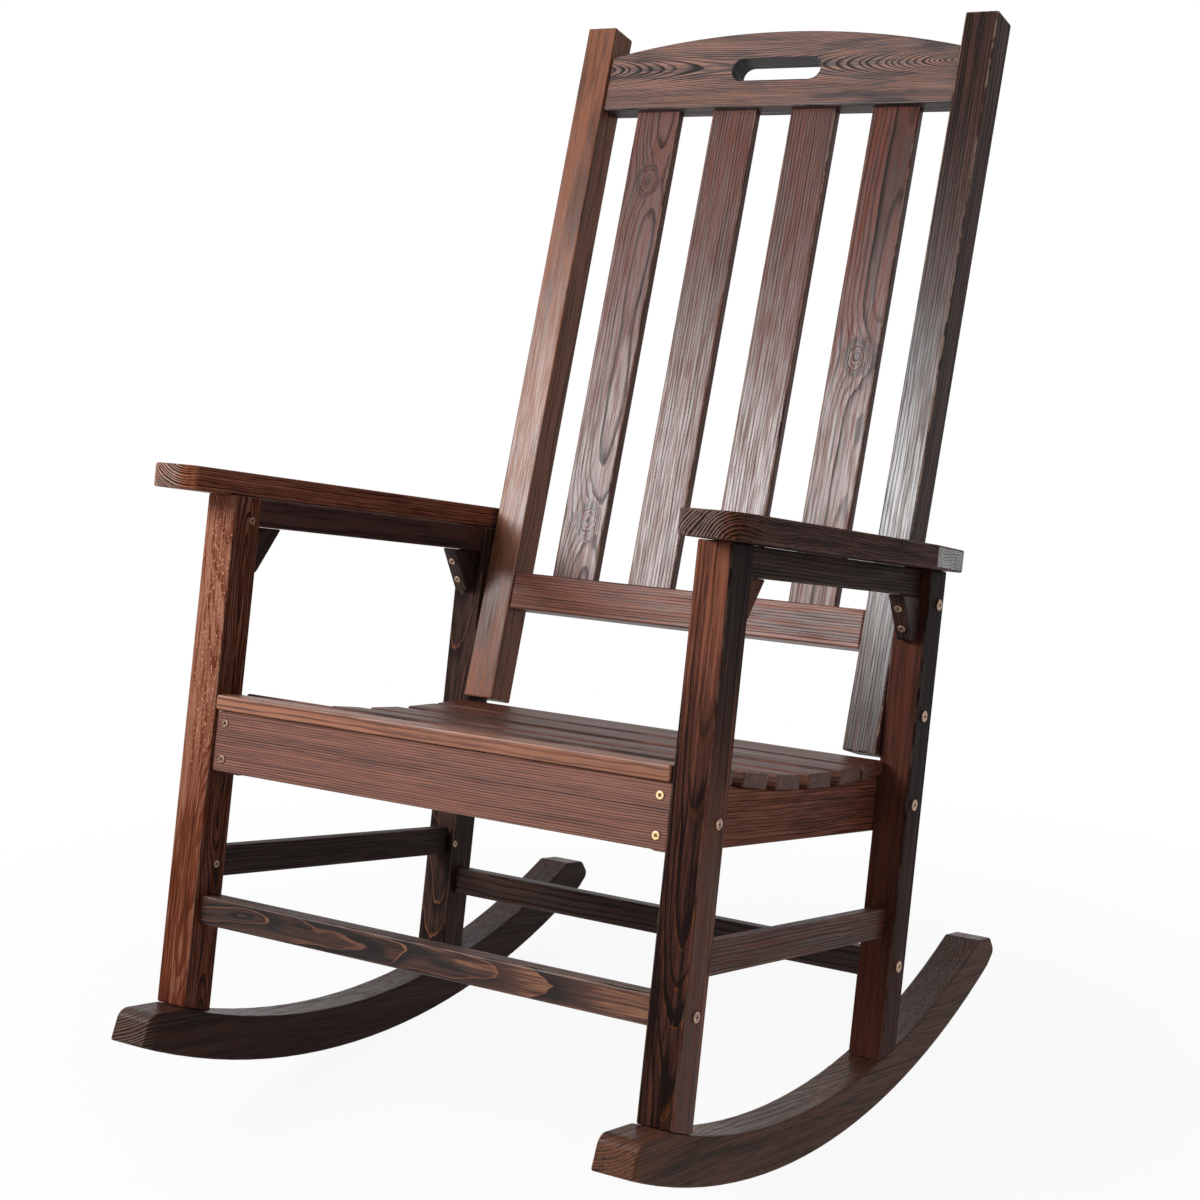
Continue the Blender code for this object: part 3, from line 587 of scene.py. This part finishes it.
def brass(name, bright, dull):
    """Plated brass with fine rubbing marks and tarnish, and painted shade in the recess and under the rim.
    """
    f = Finish(name)
    spot = f.out(f.node("TexCoord"), "Object")
    tarnish = f.noise(f.stretched(spot, *TARNISH_SCALES), 4.0, 3.0, 0.6)
    rubs = f.noise(f.stretched(spot, *RUB_SCALES), 8.0)
    stain = f.step(0.42, 0.72, tarnish)
    colour = f.blend(stain, linear(*bright), linear(*dull))
    # Painted shade: darker, rougher and less metallic in the recess and under the rim.
    dirt = f.out(f.node("Attribute", {"attribute_name": "dirt"}), "Fac")
    colour = f.blend(dirt * 0.95, colour, SHADE_DARK)
    roughness = 0.36 + stain * 0.18 + (rubs - 0.5) * 0.2 + dirt * 0.25
    normal = f.out(f.node("Bump", None, {"Strength": 0.4, "Distance": RUB_DEPTH, "Height": rubs}))
    return f.surface(colour=colour, roughness=roughness, metallic=0.85 - dirt * 0.7, normal=normal)


def dress(name, material):
    """Gives a node of the frame its finish."""
    mesh = nodes[name].data
    mesh.materials.clear()
    mesh.materials.append(material)


def new_piece(name, points, faces, material):
    """An object at the origin from its points and faces."""
    mesh = bpy.data.meshes.new(name)
    mesh.from_pydata(points.tolist(), [], faces)
    mesh.materials.append(material)
    made = bpy.data.objects.new(name, mesh)
    bpy.context.scene.collection.objects.link(made)
    return made


# Screw heads: steps of the profile and round the axis, then shares of the head's radius and of its rise
LEVEL_STEPS = 24
ROUND_STEPS = 7
SPOKES = 64
LEVEL_START = 0.03
LEVEL_REACH = 0.80
ROUND_REACH = 0.20
ROUND_FOOT = 0.4
ROUND_FALL = 0.6
SEAT_SINK = 0.2
RECESS_DEPTH = 0.8
RECESS_HALF_WIDTH = 0.125
RECESS_HALF_LENGTH = 0.50
RECESS_SOFT_SIDE = 0.06
RECESS_SOFT_END = 0.10
RECESS_FLOOR = 0.2
SHADED_BELOW = 0.30
SHARP_ANGLE = math.radians(50.0)


def flat_screw(name, seat, out, side, sizes, turn, material):
    """A flat-headed screw: a profile carried round its axis, from the middle of the head to the point.

    The profile is level to four fifths of the head's radius, falls in a quarter round, drops to just
    under the seat and runs in to the shank and down to the point. The level part is lowered in a
    cross: where the smaller of the distances to its two arms is under an eighth of the radius and the
    larger one under half of it.
    """
    head, rise, shank, length = sizes
    up = np.cross(out, side)
    bend = np.linspace(0.0, math.pi / 2.0, ROUND_STEPS)[1:]
    level = np.linspace(LEVEL_START, LEVEL_REACH, LEVEL_STEPS)
    rounded = LEVEL_REACH + ROUND_REACH * np.sin(bend)
    radius = head * np.concatenate([level, rounded, [1.0, shank / head, shank / head]])
    falling = ROUND_FOOT + ROUND_FALL * np.cos(bend)
    below = [-SEAT_SINK, -SEAT_SINK, (shank - length) / rise]
    height = rise * np.concatenate([np.ones(LEVEL_STEPS), falling, below])
    angle = np.linspace(0.0, 2.0 * math.pi, SPOKES, endpoint=False)
    away, spoke = np.meshgrid(radius, angle, indexing="ij")
    lift = np.broadcast_to(height[:, None], away.shape)
    first = abs(away * np.cos(spoke - turn)) / head
    second = abs(away * np.sin(spoke - turn)) / head
    narrow = (RECESS_HALF_WIDTH - np.minimum(first, second)) / RECESS_SOFT_SIDE + 0.5
    short = (RECESS_HALF_LENGTH - np.maximum(first, second)) / RECESS_SOFT_END + 0.5
    sunk = np.clip(narrow, 0.0, 1.0) * np.clip(short, 0.0, 1.0)
    grid = seat + (lift - RECESS_DEPTH * rise * sunk)[..., None] * out
    grid = grid + (away * np.cos(spoke))[..., None] * side + (away * np.sin(spoke))[..., None] * up
    bottom = seat + RECESS_FLOOR * rise * out
    points = np.concatenate([[bottom], grid.reshape(-1, 3), [seat - length * out]])
    number = 1 + np.arange(away.size).reshape(away.shape)
    after = np.roll(number, -1, axis=1)
    walls = np.stack([number[:-1], number[1:], after[1:], after[:-1]], axis=-1).reshape(-1, 4)
    middle = np.stack([np.zeros_like(number[0]), number[0], after[0]], axis=-1)
    point = np.stack([number[-1], np.full_like(number[0], len(points) - 1), after[-1]], axis=-1)
    made = new_piece(name, points, walls.tolist() + middle.tolist() + point.tolist(), material)
    # Painted shade in the recess and under the rim, kept on the points.
    dirt = np.maximum(sunk, np.where(lift < SHADED_BELOW * rise, 1.0, 0.0)).reshape(-1)
    dirt = np.concatenate([[1.0], dirt, [1.0]]).astype(np.float32)
    made.data.attributes.new("dirt", "FLOAT", "POINT").data.foreach_set("value", dirt)
    made.data.shade_smooth()
    made.data.set_sharp_from_angle(angle=SHARP_ANGLE)
    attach(made, "root")
    return made


# Length and width directions of the boards
ACROSS_LEGS = (ACROSS, LEG_UP)
ALONG_LEG = (LEG_UP, ACROSS)
ALONG_SIDE = (LEG_BACK, LEG_UP)
ALONG_ARM = (LEG_BACK, ACROSS)
ALONG_POST = (BACK_UP, ACROSS)
ACROSS_BACK = (ACROSS, BACK_UP)
SLANT_DOWN = ((LEG_BACK - LEG_UP) / math.sqrt(2.0), (LEG_BACK + LEG_UP) / math.sqrt(2.0))
SLANT_UP = ((LEG_BACK + LEG_UP) / math.sqrt(2.0), (LEG_UP - LEG_BACK) / math.sqrt(2.0))

# The tapered tail of an arm: how far it narrows over its length
ARM_TAPER = math.atan(0.022 / 0.124)
TAPER_FACE = ACROSS * math.cos(ARM_TAPER) + LEG_BACK * math.sin(ARM_TAPER)

# Colours and finishes that several boards share
HONEY = {"light": (156, 103, 78), "body": (112, 70, 54), "dark": (50, 28, 21)}
RUSSET = {"light": (141, 93, 77), "body": (101, 63, 54), "dark": (37, 21, 17)}
UMBER = {"light": (106, 61, 46), "body": (65, 36, 27), "dark": (22, 13, 10)}
SOOT = {"light": (72, 50, 44), "body": (40, 29, 26), "dark": (14, 11, 10)}
ASH = {"light": (74, 59, 55), "body": (42, 35, 34), "dark": (14, 12, 12)}
MATT = {"gloss": 0.03, "roughness": 0.52}
DULL = {"gloss": 0.05, "roughness": 0.52}
SATIN = {
    "gloss": 0.10,
    "roughness": 0.40,
    "coat": 1.0,
    "coat_bend": 1.85,
    "even": 0.20,
    "shine": -BACK_DEEP,
}
QUIET = {"wander": 0.0012, "uneven": 0.7, "streak": 0.14, "dashes": 0.12}
SLAT = {
    "light": (110, 66, 55),
    "body": (79, 44, 36),
    "dark": (31, 18, 15),
    "spacing": 0.0034,
    "lines": 0.85,
    "wear_and_highlight": 0.5,
    **SATIN,
}
SEAT = {"spacing": 0.0034, "gloss": 0.18, **UMBER}
ROCKER = {"wander": 0.004, "wear_and_highlight": 0.0, "coat": 0.6, "shine": UPWARDS, **DULL}

# The boards: directions, then the cut with its seed and its pith
BOARDS = {
    "apron": (
        ACROSS_LEGS,
        Cut(
            1.3,
            (0.19, 0.05),
            spacing=0.0025,
            lines=1.05,
            char=0.12,
            base=0.10,
            coat=0.40,
            tones=(0.07, -0.08),
            **QUIET,
            **RUSSET,
        ),
    ),
    "seat_slat_front": (
        ACROSS_LEGS,
        Cut(2.6, (0.05, 0.16), spacing=0.0022, lines=0.65, char=0.14, coat=0.5, **QUIET, **HONEY),
    ),
    "front_leg_right": (
        ALONG_LEG,
        Cut(
            3.4,
            (0.008, 0.004),
            spacing=0.0034,
            wander=0.0140,
            lines=1.2,
            flecks=0.85,
            tones=(0.26, 0.0),
            span=(0.2, 0.8),
            skins=((0.0, 0.10), 0.0, 0.0, -0.03),
            plain=-LEG_BACK,
            light=(146, 98, 77),
            body=(98, 47, 28),
            dark=(35, 18, 11),
            **DULL,
        ),
    ),
    "front_leg_left": (
        ALONG_LEG,
        Cut(
            4.9,
            (0.009, 0.012),
            slope=(0.0, -0.030),
            bow=(0.0, 0.055),
            spacing=0.0025,
            lines=0.76,
            tones=(0.62, 0.02),
            span=(0.52, 0.96),
            skins=((-0.46, 0.90), 0.0, 0.0, 0.0),
            glow=0.50,
            rim=0.10,
            light=(132, 80, 60),
            body=(84, 50, 41),
            dark=(27, 17, 15),
            coat=0.32,
            coats=(1.0, 0.08),
            coat_span=(0.35, 0.70),
            shine=ACROSS,
            **MATT,
        ),
    ),
    "rear_leg_left": (
        ALONG_LEG,
        Cut(
            5.7,
            (0.05, 0.09),
            spacing=0.0036,
            lines=0.45,
            streak=0.16,
            fibre=0.6,
            hair=0.5,
            dashes=0.12,
            base=0.14,
            tones=(0.04, 0.12),
            span=(0.25, 0.70),
            skins=((0.15, 0.75), 0.0, 0.0, -0.12),
            plain=-LEG_BACK,
            light=(96, 54, 42),
            body=(59, 35, 30),
            dark=(22, 12, 9),
            **MATT,
        ),
    ),
    "rear_leg_right": (
        ALONG_LEG,
        Cut(
            6.1,
            (-0.004, 0.03),
            slope=(0.0, -0.08),
            spacing=0.0046,
            wander=0.006,
            lines=0.2,
            flame=0.5,
            glow=0.6,
            glow_colour=(160, 104, 72),
            rim=0.05,
            **SOOT,
            **DULL,
        ),
    ),
    "back_post_right": (
        ALONG_POST,
        Cut(
            7.2,
            (-0.05, 0.02),
            spacing=0.0032,
            wander=0.004,
            lines=0.8,
            char=0.45,
            skins=(-0.12, 0.0, 0.0, 0.0),
            plain=-BACK_DEEP,
            coats=(0.58, 0.25),
            coat_span=(0.50, 0.95),
            coat_foot=0.28,
            light=(144, 92, 68),
            body=(102, 62, 45),
            dark=(44, 25, 18),
            **SATIN,
        ),
    ),
    "back_post_left": (
        ALONG_POST,
        Cut(
            8.8,
            (0.09, 0.03),
            spacing=0.0032,
            lines=0.8,
            streak=0.6,
            wear_and_highlight=0.7,
            light=(80, 53, 47),
            body=(45, 31, 28),
            dark=(14, 9, 8),
            gloss=0.04,
            roughness=0.45,
            coat=1.0,
            coat_bend=1.95,
            coats=(1.05, 0.10),
            coat_span=(0.33, 0.92),
            coat_foot=0.18,
            foot_run=0.45,
            even=0.35,
            shine=-BACK_DEEP,
        ),
    ),
    "back_slat_1": (
        ALONG_POST,
        Cut(
            9.4,
            (0.012, -0.035),
            knots=((0.20, 0.002, 0.012), (-0.215, 0.006, 0.012)),
            coats=(0.54, 0.52),
            **SLAT,
        ),
    ),
    "back_slat_2": (ALONG_POST, Cut(10.3, (0.12, 0.06), wander=0.0015, coats=(0.66, 0.54), **SLAT)),
    "back_slat_3": (ALONG_POST, Cut(11.6, (-0.11, 0.05), coats=(0.80, 0.53), **SLAT)),
    "back_slat_4": (
        ALONG_POST,
        Cut(
            12.2,
            (0.02, 0.05),
            wander=0.0026,
            lines=0.85,
            wear_and_highlight=0.5,
            knots=((-0.005, 0.004, 0.012),),
            coats=(0.80, 0.30),
            coat_span=(0.40, 0.95),
            coat_foot=0.42,
            foot_run=0.45,
            light=(112, 61, 48),
            body=(72, 38, 30),
            dark=(28, 16, 13),
            **SATIN,
        ),
    ),
    "crest_rail": (
        ACROSS_BACK,
        Cut(
            13.5,
            (0.004, -0.011),
            slope=(0.0, 0.032),
            bow=(0.0, 0.342),
            spacing=0.0013,
            wander=0.0012,
            reach=4.0,
            early=0.40,
            lines=1.40,
            char=0.60,
            base=0.07,
            # The darker underside is painted shade.
            skins=(0.0, 0.45, 0.0, 0.0),
            hollow=(0.0, -0.00045, 0.0440, 0.01325),
            knots=((0.165, 0.034, 0.0035), (0.185, 0.030, 0.003)),
            light=(160, 119, 103),
            body=(94, 75, 74),
            dark=(30, 20, 17),
            coat=0.5,
            coat_bend=1.75,
            coats=(0.5, 1.2),
            shine=-BACK_DEEP,
        ),
    ),
    "lower_back_rail": (
        ACROSS_BACK,
        Cut(
            14.1,
            (0.10, 0.05),
            spacing=0.0032,
            wander=0.0012,
            char=0.45,
            light=(146, 90, 72),
            body=(102, 59, 48),
            dark=(37, 21, 17),
            coat=0.55,
            coats=(0.4, 1.0),
        ),
    ),
    "rear_seat_rail": (ACROSS_LEGS, Cut(15.8, (0.09, 0.05), **UMBER, **DULL)),
    "front_stretcher": (
        ACROSS_LEGS,
        Cut(
            16.9,
            (0.0, 0.035),
            slope=(0.0, 0.10),
            spacing=0.0085,
            wander=0.010,
            reach=9.0,
            lines=0.0,
            flame=0.85,
            glow=0.75,
            glow_colour=(160, 108, 78),
            rim=0.040,
            base=0.56,
            tones=(0.04, -0.34),
            light=(154, 108, 83),
            body=(77, 51, 44),
            dark=(23, 17, 15),
            coat=0.2,
        ),
    ),
    "rear_stretcher": (
        ACROSS_LEGS,
        Cut(
            17.9,
            (0.03, 0.05),
            spacing=0.0040,
            wander=0.004,
            glow=0.2,
            base=0.0,
            coat=0.3,
            **SOOT,
            **DULL,
        ),
    ),
    "arm_left": (
        ALONG_ARM,
        Cut(
            18.7,
            (0.034, 0.036),
            spacing=0.0028,
            wander=0.0090,
            reach=12.0,
            lines=1.1,
            glow=0.35,
            rim=0.09,
            end_ring_sheen=0.55,
            end_ring_sheen_colour=(150, 139, 132),
            sawn=TAPER_FACE,
            light=(100, 67, 60),
            body=(43, 33, 33),
            dark=(13, 9, 8),
            **MATT,
        ),
    ),
    "arm_right": (
        ALONG_ARM,
        Cut(
            19.2,
            (0.024, -0.048),
            spacing=0.0026,
            wander=0.0012,
            lines=1.1,
            ends=(0.50, 0.0),
            end_ring_sheen=0.75,
            end_ring_sheen_colour=(170, 152, 141),
            light=(174, 108, 84),
            body=(120, 68, 52),
            dark=(36, 19, 14),
            **DULL,
        ),
    ),
    "arm_rail_left": (ALONG_SIDE, Cut(20.6, (0.10, 0.06), spacing=0.0032, **SOOT, **DULL)),
    "arm_rail_right": (
        ALONG_SIDE,
        Cut(
            21.3,
            (0.01, 0.06),
            spacing=0.0040,
            glow=0.25,
            light=(90, 60, 55),
            body=(52, 36, 34),
            dark=(15, 10, 9),
            **DULL,
        ),
    ),
    "side_seat_rail_left": (
        ALONG_SIDE,
        Cut(
            22.7,
            (0.14, 0.05),
            spacing=0.0032,
            # Darker towards the rear end: painted shade beside the rear leg.
            tones=(-0.14, 0.26),
            light=(148, 90, 68),
            body=(104, 59, 45),
            dark=(37, 21, 16),
            **DULL,
        ),
    ),
    "side_seat_rail_right": (ALONG_SIDE, Cut(23.9, (0.14, 0.05), spacing=0.0026, **UMBER, **DULL)),
    "side_stretcher_left": (
        ALONG_SIDE,
        Cut(24.4, (0.08, 0.05), spacing=0.0032, coat=0.35, **UMBER, **DULL),
    ),
    "side_stretcher_right": (ALONG_SIDE, Cut(25.2, (0.10, 0.05), glow=0.2, base=0.0, **ASH, **DULL)),
    "front_brace_left": (SLANT_UP, Cut(26.5, (0.05, 0.05), **UMBER, **DULL)),
    "front_brace_right": (SLANT_UP, Cut(27.1, (0.05, 0.05), **SOOT, **DULL)),
    "rear_brace_left": (SLANT_DOWN, Cut(28.8, (0.05, 0.05), **SOOT)),
    "rear_brace_right": (SLANT_DOWN, Cut(29.4, (0.05, 0.05), **SOOT)),
    "rocker_left": (
        ALONG_SIDE,
        Cut(
            30.2,
            (0.06, -0.045),
            lines=0.30,
            tones=(0.0, -0.05),
            span=(0.30, 1.00),
            end_ring_sheen=0.42,
            end_ring_sheen_colour=(146, 92, 56),
            light=(102, 67, 52),
            body=(60, 44, 37),
            dark=(24, 17, 15),
            coats=(0.7, 1.0),
            **ROCKER,
        ),
    ),
    "rocker_right": (
        ALONG_SIDE,
        Cut(
            31.9,
            (0.06, -0.045),
            lines=0.28,
            end_ring_sheen=0.36,
            light=(64, 40, 33),
            body=(34, 22, 18),
            dark=(13, 9, 8),
            **ROCKER,
        ),
    ),
    "seat_slat_rear": (ACROSS_LEGS, Cut(51.2, (0.10, 0.08), **SEAT)),
}
for index in range(1, 6):
    seat_cut = Cut(40.0 + 1.7 * index, (0.10, 0.08 + 0.01 * index), **SEAT)
    BOARDS["seat_slat_" + str(index)] = (ACROSS_LEGS, seat_cut)

screw_brass = brass("screw_brass", (236, 208, 156), (150, 116, 74))
bolt_bronze = brass("bolt_bronze", (182, 153, 130), (106, 83, 66))
# A darker copy of the bronze, as painted shade: apron screws at one end and the toe screws.
shaded_bronze = brass("shaded_bronze", (150, 122, 98), (84, 64, 50))

# Fasteners: head radius, rise, shank radius and length; the height of the frame's head; the finish
BOLT = ((0.0061, 0.0020, 0.0030, 0.055), 0.0036, bolt_bronze)
FRONT_BOLT = ((0.0053, 0.0018, 0.0030, 0.055), 0.0036, bolt_bronze)
APRON_SCREW = ((0.0041, 0.0012, 0.0020, 0.045), 0.0022, screw_brass)
# The brace screws take the duller bolt finish as painted shade.
BRACE_SCREW = ((0.0042, 0.0012, 0.0020, 0.050), 0.0022, bolt_bronze)
TOE_SCREW = (0.0040, 0.0005, 0.0018, 0.020)

# Turns of the recesses: the first fastener's, the next one's past it, and that of the toe screws
FIRST_TURN = 0.3
NEXT_TURN = 0.83
TOE_TURN = 0.5


def head_way(name, hint):
    """The way that a fastener's head looks: the long direction of its points, on the side of a hint."""
    points = node_points(name)
    way = np.linalg.svd(points - points.mean(axis=0), full_matrices=False)[2][0]
    return way * np.sign(way @ hint)


def fit_fastener(name, number):
    """Puts a finished fastener where the frame has a plain one."""
    if "bolt" in name:
        sizes, head_height, material = FRONT_BOLT if name.startswith("front") else BOLT
        hint = ACROSS if name.endswith("left") else -ACROSS
        side = LEG_UP
    else:
        sizes, head_height, material = APRON_SCREW if "apron" in name else BRACE_SCREW
        hint = -LEG_BACK
        side = ACROSS
    # The apron's screws at this end get the darker copy: painted shade.
    if "apron" in name and name.endswith("right"):
        material = shaded_bronze
    out = head_way(name, hint)
    side = side - out * (side @ out)
    side = side / np.linalg.norm(side)
    place = Place(name, out, side)
    seat = place.middle + out * (place.half[0] - head_height)
    dress(name, material)
    turn = FIRST_TURN + NEXT_TURN * number
    made = flat_screw("brass_" + name, seat, out, side, sizes, turn, material)
    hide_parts(name)


fasteners = 0
for node_name in nodes:
    if node_name in BOARDS:
        (length, width), cut = BOARDS[node_name]
        dress(node_name, Fir(node_name + "_fir", Place(node_name, length, width), cut).finished())
    else:
        fasteners = fasteners + 1
        fit_fastener(node_name, fasteners)

# Flush screws in the inner faces of the legs: the leg, then the place back and up from the apron's foot
APRON_FOOT = np.array([0.0, -0.324839, 0.373810])
TOE_SCREWS = {
    "arm_rail_toe_screw": ("front_leg", 0.0282, 0.2544),
    "front_toe_screw": ("front_leg", 0.0271, -0.0966),
    "rear_toe_screw": ("rear_leg", 0.4537, -0.0990),
}
for screw_name, (leg, back, up) in TOE_SCREWS.items():
    for side_name, inwards in (("left", -1.0), ("right", 1.0)):
        corners = np.array(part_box(leg + "_" + side_name))
        inner = abs(corners[:, 0]).min()
        seat = APRON_FOOT + LEG_BACK * back + LEG_UP * up - ACROSS * (inwards * inner)
        out = ACROSS * inwards
        turn = TOE_TURN + back
        flat_screw(screw_name + "_" + side_name, seat, out, LEG_UP, TOE_SCREW, turn, shaded_bronze)


def flat_sheet(name, reach, material):
    """A level square sheet at the floor: x and y run from minus to plus reach, z is zero."""
    side = np.array([-reach, reach])
    x, y = np.meshgrid(side, side, indexing="ij")
    points = np.stack([x, y, np.zeros_like(x)], axis=-1).reshape(-1, 3)
    return new_piece(name, points, [(0, 2, 3, 1)], material)


WHITE = (1.0, 1.0, 1.0, 1.0)
FLOOR_GREY = (0.80, 0.80, 0.80, 1.0)
AIR_GREY = (0.16, 0.16, 0.165, 1.0)
FLOOR_WHITE = 0.93
FLOOR_REST = 0.07
FLOOR_FADE = (0.35, 1.3)


def seen(f):
    """1 for rays that show the background: from the camera, off gloss or through glass."""
    rays = f.node("LightPath")
    straight = f.math("MAXIMUM", f.out(rays, "Is Camera Ray"), f.out(rays, "Is Glossy Ray"))
    return f.math("MAXIMUM", straight, f.out(rays, "Is Transmission Ray"))


def floor_finish():
    """A pale matt floor, seen as white far off and with a trace of the shadow near the chair."""
    f = Finish("pale_floor")
    matt = f.out(f.node("BsdfDiffuse", None, {"Color": FLOOR_GREY}))
    white = f.out(f.node("Emission", None, {"Color": WHITE, "Strength": 1.0}))
    spot = f.out(f.node("TexCoord"), "Object")
    away = f.out(f.node("VectorMath", {"operation": "LENGTH"}, {"Vector": spot}), "Value")
    shown = seen(f) * (FLOOR_WHITE + f.step(*FLOOR_FADE, away) * FLOOR_REST)
    mixed = f.out(f.node("MixShader", None, {0: shown, 1: matt, 2: white}))
    f.node("OutputMaterial", None, {"Surface": mixed})
    return f.owner


def studio_air():
    """A grey surround that lights the chair, white where it is seen."""
    world = bpy.data.worlds.new("studio")
    bpy.context.scene.world = world
    f = Finish("studio", world)
    dim = f.out(f.node("Background", None, {"Color": AIR_GREY, "Strength": 1.0}))
    white = f.out(f.node("Background", None, {"Color": WHITE, "Strength": 1.0}))
    mixed = f.out(f.node("MixShader", None, {0: seen(f), 1: dim, 2: white}))
    f.node("OutputWorld", None, {"Surface": mixed})


LIGHT_AIM = np.array([0.0, 0.1, 0.62])


def soft_box(name, direction, distance, width, height, power):
    """A rectangular soft light that faces the middle of the chair. Sizes in metres, power in watts."""
    direction = np.array(direction) / np.linalg.norm(direction)
    lamp = bpy.data.lights.new(name, "AREA")
    lamp.shape = "RECTANGLE"
    lamp.size = width
    lamp.size_y = height
    lamp.energy = power
    box = bpy.data.objects.new(name, lamp)
    right = np.cross(UPWARDS, direction)
    right = right / np.linalg.norm(right)
    up = np.cross(direction, right)
    turn = Matrix(np.stack([right, up, direction], axis=1).tolist()).to_4x4()
    place = LIGHT_AIM + distance * direction
    box.matrix_world = Matrix.Translation(place.tolist()) @ turn
    bpy.context.scene.collection.objects.link(box)


flat_sheet("floor", 30.0, floor_finish())
studio_air()
soft_box("key_light", (-0.46, -0.77, 0.42), distance=2.1, width=1.3, height=0.60, power=36.0)
soft_box("front_light", (-0.25, -0.90, 0.35), distance=2.8, width=2.2, height=1.6, power=8.0)
soft_box("edge_light", (0.89, -0.35, 0.27), distance=2.6, width=0.3, height=1.2, power=5.2)

# The camera: its place in metres, its dip and turn in degrees, its lens in millimetres
CAMERA_PLACE = (1.18792, -1.93036, 0.94718)
CAMERA_DIP = 10.611
CAMERA_TURN = 31.643
FOCAL_LENGTH = 65.455
SENSOR_WIDTH = 36.0

lens = bpy.data.cameras.new("camera")
lens.lens = FOCAL_LENGTH
lens.sensor_width = SENSOR_WIDTH
camera = bpy.data.objects.new("camera", lens)
camera.location = CAMERA_PLACE
camera.rotation_euler = (math.radians(90.0 - CAMERA_DIP), 0.0, math.radians(CAMERA_TURN))
bpy.context.scene.collection.objects.link(camera)
bpy.context.scene.camera = camera
bpy.context.scene.view_settings.view_transform = "Standard"
